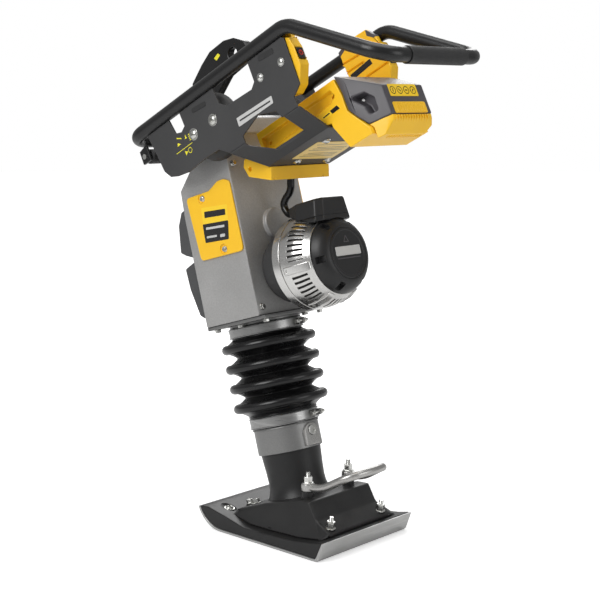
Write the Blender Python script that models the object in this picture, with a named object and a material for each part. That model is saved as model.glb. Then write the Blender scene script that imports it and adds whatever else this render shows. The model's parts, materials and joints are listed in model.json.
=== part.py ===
"""Battery-powered jumping jack rammer, modelled piece by piece in metres.

+X is the way the rammer travels (toe side), +Y is its left side and +Z is up. The origin is the point
where the leaning leg's axis meets the flat of the sole. Pieces of the leg are drawn in the leg's own frame
(a forward, y left, h along the leg), and pieces of the handle in the handle's frame, whose origin is the
axis of the rubber mounts that the handle tilts on.
"""
import math

import bmesh
import bpy
from mathutils import Matrix, Vector

# ---- driving dimensions -------------------------------------------------------------------------------
LEG_LEAN = math.radians(16.0)
HANDLE_SLOPE = math.radians(26.5)
GAP = 0.0003                      # clearance left between touching pieces

SHOE_HALF_WIDTH = 0.140
SHOE_SKIN = 0.005
HEEL_BOTTOM_X = -0.156
HEEL_TOP = (-0.171, 0.041)
TOE_BEND_X = 0.122
TOE_TOP = (0.188, 0.043)

NECK_TOP = 0.172                  # heights along the leg
CYLINDER_TOP = 0.335
CYLINDER_RADIUS = 0.0695
CYLINDER_BORE = 0.060
PISTON_LOW = 0.256
PISTON_HIGH = 0.268
ROD_RADIUS = 0.0145
WRIST_HEIGHT = 0.500
BELLOWS_LOW = 0.228
BELLOWS_HIGH = 0.449
BELLOWS_RINGS = (0.278, 0.3205, 0.363, 0.4055)
BELLOWS_PITCH = 0.0425
BELLOWS_RADIUS = 0.1025
BELLOWS_NECK = 0.0755
BELLOWS_WALL = 0.003

FLANGE_LOW = 0.453
HOUSING_LOW = 0.4605
HOUSING_HALF_WIDTH = 0.100
HOUSING_WALL = 0.009
HOUSING_REAR = -0.088
HOUSING_FRONT = 0.074
MOUNT_A = -0.0926                 # rubber mount axis in the leg frame
MOUNT_H = 0.8557
MOUNT_RADIUS = 0.070

MOTOR_HEIGHT = 0.547
MOTOR_RADIUS = 0.0986
SHELL_FRONT = -0.151
SHELL_REAR = -0.243
CAP_REAR = -0.274
CAP_RADIUS = 0.0785
CAP_FACE_RADIUS = 0.0507
SHAFT_RADIUS = 0.010
SHAFT_BORE = 0.0103

GEAR_MODULE = 0.0025
GEAR_TEETH = 66
PINION_TEETH = 14
CRANK_HEIGHT = MOTOR_HEIGHT + GEAR_MODULE * (GEAR_TEETH + PINION_TEETH) / 2
CRANK_RADIUS = 0.030
GEAR_FRONT = -0.050
GEAR_REAR = -0.066

TUBE_RADIUS = 0.0145
TUBE_Y = 0.150
TUBE_HZ = 0.0725
TUBE_FRONT = 0.2205
TUBE_APEX = -0.292
TUBE_REAR = (-0.478, -0.0865)
PLATE_Y = 0.150
PLATE_THICKNESS = 0.004
ROLLER_CENTRE = (0.216, 0.0335)
ROLLER_RADIUS = 0.016
BEAM_CENTRE = (0.115, 0.000)
BEAM_RADIUS = 0.015
PACK_NARROW_X = -0.370
PACK_NARROWING = 0.70

for old in list(bpy.data.objects):
    bpy.data.objects.remove(old, do_unlink=True)


# ---- helpers ------------------------------------------------------------------------------------------
def finish(name, colour, roughness=0.5, metallic=0.0):
    """A Principled material."""
    material = bpy.data.materials.new(name)
    material.use_nodes = True
    shader = material.node_tree.nodes["Principled BSDF"]
    shader.inputs["Base Color"].default_value = (*colour, 1.0)
    shader.inputs["Roughness"].default_value = roughness
    shader.inputs["Metallic"].default_value = metallic
    material.diffuse_color = (*colour, 1.0)
    return material


def frame_empty(name, location, angle, parent=None):
    """An empty turned about Y, which pieces are drawn in."""
    empty = bpy.data.objects.new(name, None)
    bpy.context.collection.objects.link(empty)
    empty.parent = parent
    empty.location = location
    empty.rotation_euler = (0.0, angle, 0.0)
    return empty


def add_mesh(name, bm, parent, material, smooth=False):
    """Put a bmesh into the scene as one named piece."""
    bmesh.ops.recalc_face_normals(bm, faces=bm.faces)
    if bm.calc_volume(signed=True) < 0.0:
        bmesh.ops.reverse_faces(bm, faces=bm.faces)
    mesh = bpy.data.meshes.new(name)
    bm.to_mesh(mesh)
    bm.free()
    if smooth:
        mesh.shade_smooth()
        mesh.set_sharp_from_angle(angle=math.radians(35))
    piece = bpy.data.objects.new(name, mesh)
    bpy.context.collection.objects.link(piece)
    piece.parent = parent
    if material:
        mesh.materials.append(material)
    return piece


def slab(points, low, high):
    """A (x, z) outline extruded along Y from low to high."""
    bm = bmesh.new()
    face = bm.faces.new([bm.verts.new((x, low, z)) for x, z in points])
    sides = bmesh.ops.extrude_face_region(bm, geom=[face])
    moved = [item for item in sides["geom"] if isinstance(item, bmesh.types.BMVert)]
    bmesh.ops.translate(bm, verts=moved, vec=(0.0, high - low, 0.0))
    return bm


def block(x, y, z):
    """A box between the given (low, high) pairs."""
    return slab([(x[0], z[0]), (x[1], z[0]), (x[1], z[1]), (x[0], z[1])], y[0], y[1])


def turned(profile, segments=24, axis="Z", centre=(0.0, 0.0, 0.0), closed=False):
    """A lathe shape from (radius, height) points about an axis through centre."""
    bm = bmesh.new()
    verts = [bm.verts.new((r, 0.0, h)) for r, h in profile]
    pairs = list(zip(verts, verts[1:])) + ([(verts[-1], verts[0])] if closed else [])
    edges = [bm.edges.new(pair) for pair in pairs]
    bmesh.ops.spin(bm, geom=verts + edges, cent=(0, 0, 0), axis=(0, 0, 1),
                   angle=math.tau, steps=segments, use_merge=True)
    bmesh.ops.remove_doubles(bm, verts=bm.verts, dist=0.00002)
    turn = {"Z": Matrix(), "X": Matrix.Rotation(-math.pi / 2, 4, "Y"),
            "Y": Matrix.Rotation(-math.pi / 2, 4, "X")}[axis]
    bm.transform(Matrix.Translation(centre) @ turn)
    return bm


def ring(inner, outer, low, high, **kwargs):
    """A plain ring between two radii and two heights."""
    profile = [(inner, low), (outer, low), (outer, high), (inner, high)]
    return turned(profile, closed=True, **kwargs)


def rod(radius, low, high, **kwargs):
    """A plain closed cylinder between two heights."""
    return turned([(0.0, low), (radius, low), (radius, high), (0.0, high)], **kwargs)


def boolean(piece, tool, operation="DIFFERENCE"):
    """Cut a piece with, or join it to, a hidden tool object."""
    tool.hide_render = True
    tool.display_type = "WIRE"
    modifier = piece.modifiers.new(operation.lower(), "BOOLEAN")
    modifier.operation = operation
    modifier.object = tool
    modifier.solver = "EXACT"


def bevel(piece, width, segments=1, angle=35):
    """Round the sharp edges of a piece."""
    modifier = piece.modifiers.new("bevel", "BEVEL")
    modifier.width = width
    modifier.segments = segments
    modifier.limit_method = "ANGLE"
    modifier.angle_limit = math.radians(angle)


def rounded(points, radii, steps=5, closed=False):
    """Replace each corner of a 3-D path by an arc of the given radius."""
    points = [Vector(point) for point in points]
    path = []
    for index, (point, radius) in enumerate(zip(points, radii)):
        if radius == 0.0:
            path.append(point)
            continue
        before = (points[index - 1] - point).normalized()
        after = (points[(index + 1) % len(points)] - point).normalized()
        half = before.angle(after) / 2
        start = point + before * (radius / math.tan(half))
        centre = point + (before + after).normalized() * (radius / math.sin(half))
        arm = start - centre
        axis = before.cross(after)
        sweep = math.pi - 2 * half
        for step in range(steps + 1):
            turn = Matrix.Rotation(-sweep * step / steps, 3, axis)
            path.append(centre + turn @ arm)
    return path


def tube(name, path, radius, parent, material, closed=False, sides=2):
    """A round bar along a path, as a curve with filled ends."""
    curve = bpy.data.curves.new(name, "CURVE")
    curve.dimensions = "3D"
    curve.bevel_depth = radius
    curve.bevel_resolution = sides
    curve.use_fill_caps = True
    spline = curve.splines.new("POLY")
    spline.points.add(len(path) - 1)
    for point, place in zip(spline.points, path):
        point.co = (*place, 1.0)
    spline.use_cyclic_u = closed
    curve.materials.append(material)
    piece = bpy.data.objects.new(name, curve)
    bpy.context.collection.objects.link(piece)
    piece.parent = parent
    return piece


def smooth_path(points, per_span=6):
    """A Catmull-Rom curve through the given points."""
    points = [Vector(point) for point in points]
    ends = [2 * points[0] - points[1]] + points + [2 * points[-1] - points[-2]]
    path = []
    for p0, p1, p2, p3 in zip(ends, ends[1:], ends[2:], ends[3:]):
        for step in range(per_span):
            t = step / per_span
            path.append(0.5 * (2 * p1 + (p2 - p0) * t + (2 * p0 - 5 * p1 + 4 * p2 - p3) * t * t
                               + (3 * p1 - p0 - 3 * p2 + p3) * t ** 3))
    return path + [points[-1]]


def helix(radius, low, high, turns, per_turn=10):
    """Points of a compression spring with one flat turn at each end."""
    count = turns * per_turn
    path = []
    for index in range(count + 1):
        angle = math.tau * index / per_turn
        rise = min(max((index - per_turn * 0.6) / (count - 1.2 * per_turn), 0.0), 1.0)
        path.append((radius * math.cos(angle), radius * math.sin(angle), low + (high - low) * rise))
    return path


def gear(teeth, bore, rear, front, tooth_up):
    """A spur gear about an axis along a, with a tooth (or a gap) pointing up."""
    pitch_radius = GEAR_MODULE * teeth / 2
    step = math.tau / teeth
    outline = []
    for tooth in range(teeth):
        middle = tooth * step + (0.0 if tooth_up else step / 2)
        for radius, share in ((pitch_radius - 0.0027, -0.29), (pitch_radius + 0.0020, -0.12),
                              (pitch_radius + 0.0020, 0.12), (pitch_radius - 0.0027, 0.29)):
            angle = middle + share * step
            outline.append((radius * math.sin(angle), radius * math.cos(angle)))
    bm = bmesh.new()
    outer = [bm.verts.new((rear, y, z)) for y, z in outline]
    hole = [bm.verts.new((rear, bore * math.sin(math.tau * i / 24), bore * math.cos(math.tau * i / 24)))
            for i in range(24)]
    edges = [bm.edges.new(pair) for loop in (outer, hole) for pair in zip(loop, loop[1:] + loop[:1])]
    bmesh.ops.triangle_fill(bm, use_beauty=True, edges=edges)
    sides = bmesh.ops.extrude_face_region(bm, geom=bm.faces[:])
    moved = [item for item in sides["geom"] if isinstance(item, bmesh.types.BMVert)]
    bmesh.ops.translate(bm, verts=moved, vec=(front - rear, 0.0, 0.0))
    return bm


def across(points, low, high):
    """A (y, z) outline extruded along X from low to high."""
    bm = bmesh.new()
    face = bm.faces.new([bm.verts.new((low, y, z)) for y, z in points])
    sides = bmesh.ops.extrude_face_region(bm, geom=[face])
    moved = [item for item in sides["geom"] if isinstance(item, bmesh.types.BMVert)]
    bmesh.ops.translate(bm, verts=moved, vec=(high - low, 0.0, 0.0))
    return bm


# ---- finishes -----------------------------------------------------------------------------------------
SOLE_STEEL = finish("sole_steel", (0.55, 0.55, 0.56), 0.4, 0.6)
BLACK_PAINT = finish("black_paint", (0.03, 0.03, 0.03), 0.5)
BRIGHT_STEEL = finish("bright_steel", (0.7, 0.7, 0.7), 0.3, 1.0)
CAST_PAINT = finish("cast_paint", (0.4, 0.4, 0.4), 0.6)
CAST_ALUMINIUM = finish("cast_aluminium", (0.6, 0.6, 0.6), 0.4, 0.9)
RUBBER = finish("rubber", (0.02, 0.02, 0.02), 0.35)
YELLOW = finish("yellow_plastic", (0.95, 0.5, 0.01), 0.4)
CHARCOAL = finish("charcoal_paint", (0.05, 0.05, 0.05), 0.45)
TUBE_BLACK = finish("tube_black", (0.015, 0.015, 0.015), 0.3)
GREY_PLASTIC = finish("grey_plastic", (0.09, 0.085, 0.09), 0.5)
BLACK_PLASTIC = finish("black_plastic", (0.015, 0.015, 0.015), 0.4)
COPPER = finish("copper", (0.7, 0.3, 0.15), 0.4, 1.0)

leg = frame_empty("leg_frame", (0.0, 0.0, 0.0), LEG_LEAN)


def leg_to_world(a, h):
    """World (x, z) of a point given along the leg."""
    return (a * math.cos(LEG_LEAN) + h * math.sin(LEG_LEAN), h * math.cos(LEG_LEAN) - a * math.sin(LEG_LEAN))


PIVOT_X, PIVOT_Z = leg_to_world(MOUNT_A, MOUNT_H)
handle = frame_empty("handle_frame", (PIVOT_X, 0.0, PIVOT_Z), HANDLE_SLOPE)
motor_axis = frame_empty("motor_axis", (0.0, 0.0, MOTOR_HEIGHT), 0.0, leg)
crank_axis = frame_empty("crank_axis", (0.0, 0.0, CRANK_HEIGHT), 0.0, leg)
roller_axis = frame_empty("roller_axis", (ROLLER_CENTRE[0], 0.0, ROLLER_CENTRE[1]), 0.0, handle)


# ---- foot ---------------------------------------------------------------------------------------------
def toe_arc(inset):
    """Points from the flat of the sole up to the toe, at a distance inside the outer skin."""
    low = Vector((TOE_BEND_X, 0.0))
    high = Vector(TOE_TOP)
    chord = high - low
    radius = chord.length_squared / (2 * chord.y)
    sweep = 2 * math.atan2(chord.y, chord.x)
    return [(low.x + (radius - inset) * math.sin(sweep * i / 6),
             radius - (radius - inset) * math.cos(sweep * i / 6)) for i in range(7)]


def make_shoe():
    """The steel sole skin and the filler body that it wraps."""
    lean = (HEEL_TOP[0] - HEEL_BOTTOM_X) / HEEL_TOP[1]
    outer = [HEEL_TOP, (HEEL_BOTTOM_X - 0.0008, 0.004), (HEEL_BOTTOM_X + 0.004, 0.0)] + toe_arc(0.0)
    inner_x = HEEL_BOTTOM_X + SHOE_SKIN
    inner = toe_arc(SHOE_SKIN)[::-1] + [(inner_x + 0.004, SHOE_SKIN), (inner_x, 0.009),
                                        (inner_x + lean * HEEL_TOP[1], HEEL_TOP[1])]
    add_mesh("sole_plate", slab(outer + inner, -SHOE_HALF_WIDTH, SHOE_HALF_WIDTH), None, SOLE_STEEL)
    inset = SHOE_SKIN + GAP
    low_x = HEEL_BOTTOM_X + inset
    under = [(low_x + lean * 0.042, 0.042), (low_x, 0.0093), (low_x + 0.004, inset)] + toe_arc(inset)
    top = [(0.178, 0.0455), (0.158, 0.047), (0.106, 0.037), (0.053, 0.025), (-0.002, 0.025),
           (-0.082, 0.028), (-0.139, 0.036)]
    width = SHOE_HALF_WIDTH - 0.001
    add_mesh("shoe_body", slab(under + top, -width, width), None, BLACK_PAINT)


def make_foot_casting():
    """The casting on the shoe: a sloping platform with the leaning neck."""
    top = [(0.112, 0.0425), (0.034, 0.071), (-0.005, 0.081), (-0.062, 0.098), (-0.092, 0.100),
           (-0.112, 0.066), (-0.150, 0.0445)]
    bottom = [(-0.150, 0.0395), (-0.139, 0.0364), (-0.082, 0.0284), (-0.002, 0.0254), (0.053, 0.0254),
              (0.106, 0.0374), (0.116, 0.0394)]
    bm = slab(bottom + top, -0.118, 0.118)
    for vert in bm.verts:
        if any(abs(vert.co.x - x) < 1e-6 and abs(vert.co.z - z) < 1e-6 for x, z in top):
            vert.co.y *= 0.80
    casting = add_mesh("foot_casting", bm, None, BLACK_PAINT)
    neck = turned([(0.0, 0.058), (0.076, 0.058), (0.066, 0.078), (0.0600, 0.100), (0.0643, NECK_TOP),
                   (0.0, NECK_TOP)])
    boolean(casting, add_mesh("neck_tool", neck, leg, None), "UNION")
    for side in (-1, 1):
        boss = rod(0.011, 0.060, 0.1105, segments=16)
        boss.transform(Matrix.Translation((-0.060, 0.063 * side, 0.0)))
        boolean(casting, add_mesh(f"boss_tool_{side}", boss, None, None), "UNION")


def make_lift_loop():
    """The bar that the rammer is lifted by at its foot."""
    side = [(-0.052, 0.063, 0.1195), (-0.085, 0.063, 0.1205), (-0.112, 0.062, 0.129), (-0.150, 0.058, 0.150),
            (-0.171, 0.040, 0.160)]
    points = side + [(-0.179, 0.0, 0.163)] + [(x, -y, z) for x, y, z in reversed(side)]
    tube("lift_loop", smooth_path(points, 3), 0.0085, None, BRIGHT_STEEL)


def make_spring_leg():
    """The spring cylinder with its cap, springs, plug, bellows and lower clamp."""
    cup = [(0.0, NECK_TOP + GAP), (CYLINDER_RADIUS, NECK_TOP + GAP), (CYLINDER_RADIUS, CYLINDER_TOP),
           (CYLINDER_BORE, CYLINDER_TOP), (CYLINDER_BORE, 0.1825), (0.0, 0.1825)]
    add_mesh("spring_cylinder", turned(cup), leg, CAST_ALUMINIUM, True)
    cap = ring(ROD_RADIUS + 0.001, CYLINDER_RADIUS - 0.001, CYLINDER_TOP + GAP, 0.348, segments=24)
    add_mesh("cylinder_cap", cap, leg, CAST_ALUMINIUM, True)
    wire = 0.0045
    tube("lower_spring", helix(0.048, 0.1825 + wire + GAP, PISTON_LOW - wire - GAP, 4), wire, leg, BRIGHT_STEEL,
         sides=1)
    tube("upper_spring", helix(0.048, PISTON_HIGH + wire + GAP, CYLINDER_TOP - wire - 0.001, 4), wire, leg,
         BRIGHT_STEEL, sides=1)
    plug = turned([(0.0, 0.0700), (0.013, 0.0700), (0.013, 0.0770), (0.009, 0.0785), (0.0, 0.0785)], 16,
                  axis="X")
    plug.transform(Matrix.Translation((0.0, 0.0, 0.204)))
    add_mesh("sight_plug", plug, leg, BRIGHT_STEEL, True)
    add_mesh("lower_clamp", ring(0.0725, 0.0758, 0.230, 0.252, segments=24), leg, BRIGHT_STEEL, True)
    outer = [(0.0722, BELLOWS_LOW), (0.0722, 0.2535)]
    inner = [(0.0700, BELLOWS_LOW), (0.0700, 0.2545)]
    per_pitch = 4
    count = int(round((BELLOWS_RINGS[-1] - BELLOWS_RINGS[0]) / BELLOWS_PITCH)) * per_pitch
    for index in range(-1, count + 2):
        height = BELLOWS_RINGS[0] + BELLOWS_PITCH * index / per_pitch
        swell = (0.5 + 0.5 * math.cos(math.tau * index / per_pitch)) ** 0.8
        radius = BELLOWS_NECK + (BELLOWS_RADIUS - BELLOWS_NECK) * swell
        outer.append((radius, height))
        inner.append((radius - BELLOWS_WALL, height))
    outer += [(0.0778, 0.4255), (0.0778, BELLOWS_HIGH)]
    inner += [(0.0760, 0.4250), (0.0760, BELLOWS_HIGH)]
    add_mesh("bellows", turned(outer + inner[::-1], closed=True), leg, RUBBER, True)


# ---- crank housing ------------------------------------------------------------------------------------
def make_housing():
    """The hollow casting that carries the crank, with a head for the handle's rubber mounts."""
    outline = [(HOUSING_REAR, HOUSING_LOW), (HOUSING_FRONT, HOUSING_LOW), (HOUSING_FRONT, 0.700), (0.070, 0.758),
               (0.026, 0.795), (-0.040, 0.812), (-0.055, 0.862), (-0.088, 0.880), (-0.118, 0.868),
               (-0.120, 0.835), (HOUSING_REAR, 0.800)]
    width = HOUSING_HALF_WIDTH
    housing = add_mesh("crank_housing", slab(outline, -width, width), leg, CAST_PAINT)
    inner = width - HOUSING_WALL
    cavity = [(HOUSING_REAR + HOUSING_WALL, HOUSING_LOW + HOUSING_WALL),
              (HOUSING_FRONT - HOUSING_WALL, HOUSING_LOW + HOUSING_WALL), (HOUSING_FRONT - HOUSING_WALL, 0.700),
              (0.061, 0.752), (0.022, 0.786), (HOUSING_REAR + HOUSING_WALL, 0.792)]
    boolean(housing, add_mesh("cavity_tool", slab(cavity, -inner, inner), leg, None))
    boss = rod(0.033, 0.080, 0.097, segments=24, axis="X")
    boolean(housing, add_mesh("bearing_boss_tool", boss, crank_axis, None), "UNION")
    rear_bore = rod(0.040, 0.06, 0.10, segments=24, axis="X")
    boolean(housing, add_mesh("rear_bore_tool", rear_bore, motor_axis, None))
    boolean(housing, add_mesh("floor_bore_tool", rod(0.034, 0.44, 0.48, segments=24), leg, None))
    for side in (-1, 1):
        window = slab([(-0.055, 0.630), (0.020, 0.630), (0.020, 0.700), (-0.055, 0.700)],
                      side * 0.085 - 0.02, side * 0.085 + 0.02)
        boolean(housing, add_mesh(f"window_tool_{side}", window, leg, None))


def make_bottom_flange():
    """The plate under the housing with the neck that the bellows clamps on."""
    flange = add_mesh("bottom_flange", block((-0.102, 0.074), (-0.098, 0.098), (FLANGE_LOW, HOUSING_LOW - GAP)),
                      leg, CAST_ALUMINIUM)
    neck = rod(0.0757, 0.4250, FLANGE_LOW + 0.003, segments=24)
    boolean(flange, add_mesh("flange_neck_tool", neck, leg, None), "UNION")
    boolean(flange, add_mesh("flange_cup_tool", rod(0.066, 0.420, FLANGE_LOW, segments=24), leg, None))
    boolean(flange, add_mesh("flange_bore_tool", rod(0.0303, 0.440, 0.470, segments=24), leg, None))
    add_mesh("upper_clamp", ring(0.0781, 0.081, 0.4265, 0.4465, segments=24), leg, BRIGHT_STEEL, True)
    add_mesh("guide_tube", ring(ROD_RADIUS + 0.0005, 0.030, 0.388, 0.476, segments=24), leg, CAST_ALUMINIUM, True)


def make_covers():
    """The yellow side covers and the two lengths of front bumper."""
    shape = [(0.053, 0.738), (0.044, 0.601), (-0.086, 0.598), (-0.085, 0.745), (-0.069, 0.752), (-0.050, 0.752),
             (-0.020, 0.738)]
    for name, side in (("side_cover_left", 1), ("side_cover_right", -1)):
        low, high = sorted((side * (HOUSING_HALF_WIDTH + GAP), side * 0.105))
        add_mesh(name, slab(shape, low, high), leg, YELLOW)
    lower = [(0.0748, 0.478), (0.087, 0.486), (0.110, 0.596), (0.0748, 0.608)]
    upper = [(0.0748, 0.6115), (0.112, 0.627), (0.098, 0.700), (0.0748, 0.700)]
    for name, points in (("front_bumper_lower", lower), ("front_bumper_upper", upper)):
        add_mesh(name, slab(points, -0.085, 0.085), leg, GREY_PLASTIC)
    for name, side in (("rubber_mount_left", 1), ("rubber_mount_right", -1)):
        inner, outer = side * (HOUSING_HALF_WIDTH + GAP), side * (PLATE_Y - PLATE_THICKNESS / 2 - GAP)
        mount = turned([(0.0, inner), (0.064, inner), (MOUNT_RADIUS, side * 0.108), (MOUNT_RADIUS, side * 0.124),
                        (0.056, side * 0.134), (0.056, outer), (0.0, outer)], 28, axis="Y")
        add_mesh(name, mount, handle, RUBBER, True)


# ---- crank drive --------------------------------------------------------------------------------------
def make_drive():
    """The ram, connecting rod, crank gear and the shafts that drive them."""
    ram = [(0.0, PISTON_LOW), (CYLINDER_BORE - 0.001, PISTON_LOW), (CYLINDER_BORE - 0.001, PISTON_HIGH),
           (ROD_RADIUS, PISTON_HIGH), (ROD_RADIUS, WRIST_HEIGHT + 0.012), (0.010, WRIST_HEIGHT + 0.016),
           (0.0, WRIST_HEIGHT + 0.016)]
    add_mesh("ram", turned(ram), leg, BRIGHT_STEEL, True)
    add_mesh("crank_gear", gear(GEAR_TEETH, SHAFT_BORE, GEAR_REAR, GEAR_FRONT, False), crank_axis, BRIGHT_STEEL)
    pin = rod(0.009, -GEAR_FRONT - GAP, 0.021, segments=20, axis="X")
    pin.transform(Matrix.Translation((0.0, 0.0, -CRANK_RADIUS)))
    add_mesh("crank_pin", pin, crank_axis, BRIGHT_STEEL, True)
    add_mesh("crank_axle", rod(SHAFT_RADIUS, 0.046, 0.0785, segments=20, axis="X"), crank_axis, BRIGHT_STEEL, True)
    low, high = WRIST_HEIGHT, CRANK_HEIGHT - CRANK_RADIUS
    shank = add_mesh("con_rod", block((-0.043, -0.027), (-0.008, 0.008), (low, high)), leg, BRIGHT_STEEL)
    for height, radius in ((low, 0.016), (high, 0.018)):
        eye = rod(radius, 0.026, 0.044, segments=24, axis="X")
        eye.transform(Matrix.Translation((0.0, 0.0, height)))
        boolean(shank, add_mesh(f"eye_tool_{int(height * 1000)}", eye, leg, None), "UNION")
    for height, radius in ((low, 0.0085), (high, 0.0093)):
        hole = rod(radius, 0.020, 0.050, segments=20, axis="X")
        hole.transform(Matrix.Translation((0.0, 0.0, height)))
        boolean(shank, add_mesh(f"hole_tool_{int(height * 1000)}", hole, leg, None))
    wrist = rod(0.0082, 0.0152, 0.046, segments=20, axis="X")
    wrist.transform(Matrix.Translation((0.0, 0.0, low)))
    add_mesh("wrist_pin", wrist, leg, BRIGHT_STEEL, True)


def make_motor():
    """The motor on the rear of the housing, from its adapter to its cap."""
    adapter = [(0.045, 0.0883), (0.064, 0.0883), (0.064, 0.099), (0.072, 0.103), (0.072, -SHELL_FRONT - 0.020),
               (0.080, -SHELL_FRONT - GAP), (0.045, -SHELL_FRONT - GAP)]
    add_mesh("motor_adapter", turned(adapter, 28, axis="X", closed=True), motor_axis, CAST_ALUMINIUM, True)
    front, rear = -SHELL_FRONT, -SHELL_REAR
    shell = [(0.060, front), (0.0965, front), (MOTOR_RADIUS, front + 0.003), (MOTOR_RADIUS, rear - 0.055),
             (0.0955, rear - 0.030), (0.0880, rear - 0.010), (0.0800, rear), (0.0740, rear), (0.0900, rear - 0.034),
             (0.0925, front + 0.006), (0.060, front + 0.006)]
    add_mesh("motor_shell", turned(shell, 32, axis="X", closed=True), motor_axis, CAST_ALUMINIUM, True)
    add_mesh("stator", ring(0.0525, 0.0890, 0.160, 0.205, segments=24, axis="X"), motor_axis, COPPER, True)
    core = [(0.0, 0.0465), (SHAFT_RADIUS, 0.0465), (SHAFT_RADIUS, 0.160), (0.050, 0.160), (0.050, 0.205),
            (SHAFT_RADIUS, 0.205), (SHAFT_RADIUS, 0.250), (0.0, 0.250)]
    add_mesh("rotor", turned(core, 28, axis="X"), motor_axis, BRIGHT_STEEL, True)
    add_mesh("pinion", gear(PINION_TEETH, SHAFT_BORE, -0.0675, -0.0485, True), motor_axis, BRIGHT_STEEL)
    for name, low in (("bearing_front", 0.100), ("bearing_rear", 0.216)):
        outer = 0.0447 if name == "bearing_front" else 0.0197
        add_mesh(name, ring(SHAFT_BORE, outer, low, low + 0.012, segments=24, axis="X"), motor_axis,
                 BRIGHT_STEEL, True)
    add_mesh("end_shield", ring(0.020, 0.083, 0.216, 0.221, segments=24, axis="X"), motor_axis,
             CAST_ALUMINIUM, True)
    add_mesh("fan", ring(SHAFT_BORE, 0.066, 0.236, 0.243, segments=28, axis="X"), motor_axis, BLACK_PLASTIC, True)
    face = -CAP_REAR
    cap = [(0.0, face), (CAP_FACE_RADIUS, face), (0.0620, face - 0.004), (0.0715, face - 0.013),
           (CAP_RADIUS, rear + GAP), (0.0735, rear + GAP), (0.0670, face - 0.015), (0.0600, face - 0.009),
           (CAP_FACE_RADIUS, face - 0.005), (0.0, face - 0.005)]
    add_mesh("motor_cap", turned(cap, 32, axis="X"), motor_axis, BLACK_PLASTIC, True)


def make_terminal_box():
    """The box that saddles the top of the motor and takes the cable."""
    plan = [(-0.150, 0.020), (-0.150, -0.020), (-0.198, -0.056), (-0.250, -0.054), (-0.262, -0.040),
            (-0.262, 0.040), (-0.250, 0.054), (-0.198, 0.056)]
    bm = bmesh.new()
    face = bm.faces.new([bm.verts.new((a, y, 0.618)) for a, y in plan])
    sides = bmesh.ops.extrude_face_region(bm, geom=[face])
    raised = [item for item in sides["geom"] if isinstance(item, bmesh.types.BMVert)]
    bmesh.ops.translate(bm, verts=raised, vec=(0.0, 0.0, 0.047))
    for vert in raised:
        vert.co.y *= 0.80
    box = add_mesh("terminal_box", bm, leg, BLACK_PLASTIC)
    clear = 0.0006
    body = [(0.0, 0.120), (MOTOR_RADIUS + clear, 0.120), (MOTOR_RADIUS + clear, -SHELL_REAR - 0.054),
            (0.0962, -SHELL_REAR - 0.029), (0.0888, -SHELL_REAR - 0.009), (0.0808, -SHELL_REAR + 0.001),
            (CAP_RADIUS + 0.001, -SHELL_REAR + 0.002), (0.0725, 0.262), (0.0630, 0.272), (0.0, 0.285)]
    boolean(box, add_mesh("motor_body_tool", turned(body, 32, axis="X"), motor_axis, None))


def make_cable():
    """The motor cable, from the controller's underside to the terminal box."""
    points = [(-0.1599, 0.0, 0.7265), (-0.1572, 0.0, 0.7170), (-0.1542, 0.0, 0.7075), (-0.1475, 0.0, 0.6980),
              (-0.1360, 0.0, 0.6905), (-0.1270, 0.0, 0.6810), (-0.1265, 0.0, 0.6700), (-0.1345, 0.0, 0.6570),
              (-0.1482, 0.0, 0.6545)]
    tube("motor_cable", smooth_path(points, 4), 0.0082, leg, RUBBER)


# ---- handle -------------------------------------------------------------------------------------------
def make_handle_tube():
    """The closed loop of tube with its rear grip."""
    rear_x, rear_z = TUBE_REAR
    corner = 0.045
    half = [(TUBE_FRONT, TUBE_Y, TUBE_HZ), (TUBE_APEX, TUBE_Y, TUBE_HZ), (rear_x, TUBE_Y, rear_z)]
    points = half + [(x, -y, z) for x, y, z in reversed(half)]
    path = rounded(points, [corner, 0.055, corner, corner, 0.055, corner], 6, closed=True)
    tube("handle_tube", path, TUBE_RADIUS, handle, TUBE_BLACK, closed=True)
    grip = ring(TUBE_RADIUS + GAP, 0.0175, -0.085, 0.085, segments=24, axis="Y")
    grip.transform(Matrix.Translation((rear_x, 0.0, rear_z)))
    add_mesh("rear_grip", grip, handle, RUBBER, True)


def make_side_plates():
    """The two side plates, notched under the tube and cut for the tray's window."""
    top = TUBE_HZ - TUBE_RADIUS - GAP
    outline = [(0.164, top), (0.156, 0.0155), (0.149, -0.0315), (0.136, -0.049), (0.116, -0.0565),
               (0.081, -0.0625), (0.018, -0.0580), (-0.020, -0.0585), (-0.046, -0.0785), (-0.252, -0.0785),
               (-0.251, -0.0575), (-0.275, -0.0425), (-0.277, 0.0530), (-0.270, top), (-0.170, top), (-0.170, 0.0155),
               (-0.157, 0.0055), (-0.079, 0.0085), (-0.062, 0.0225), (-0.059, top), (0.052, top),
               (0.050, 0.0265), (0.064, 0.0195), (0.081, 0.0245), (0.088, top)]
    window = [(-0.094, -0.0640), (-0.150, -0.0460), (-0.198, -0.0610), (-0.212, -0.0900), (-0.094, -0.0900)]
    for name, side in (("side_plate_left", 1), ("side_plate_right", -1)):
        low, high = sorted((side * (PLATE_Y - PLATE_THICKNESS / 2), side * (PLATE_Y + PLATE_THICKNESS / 2)))
        plate = add_mesh(name, slab(outline, low, high), handle, CHARCOAL)
        boolean(plate, add_mesh(f"{name}_tool", slab(window, low - 0.01, high + 0.01), handle, None))


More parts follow.
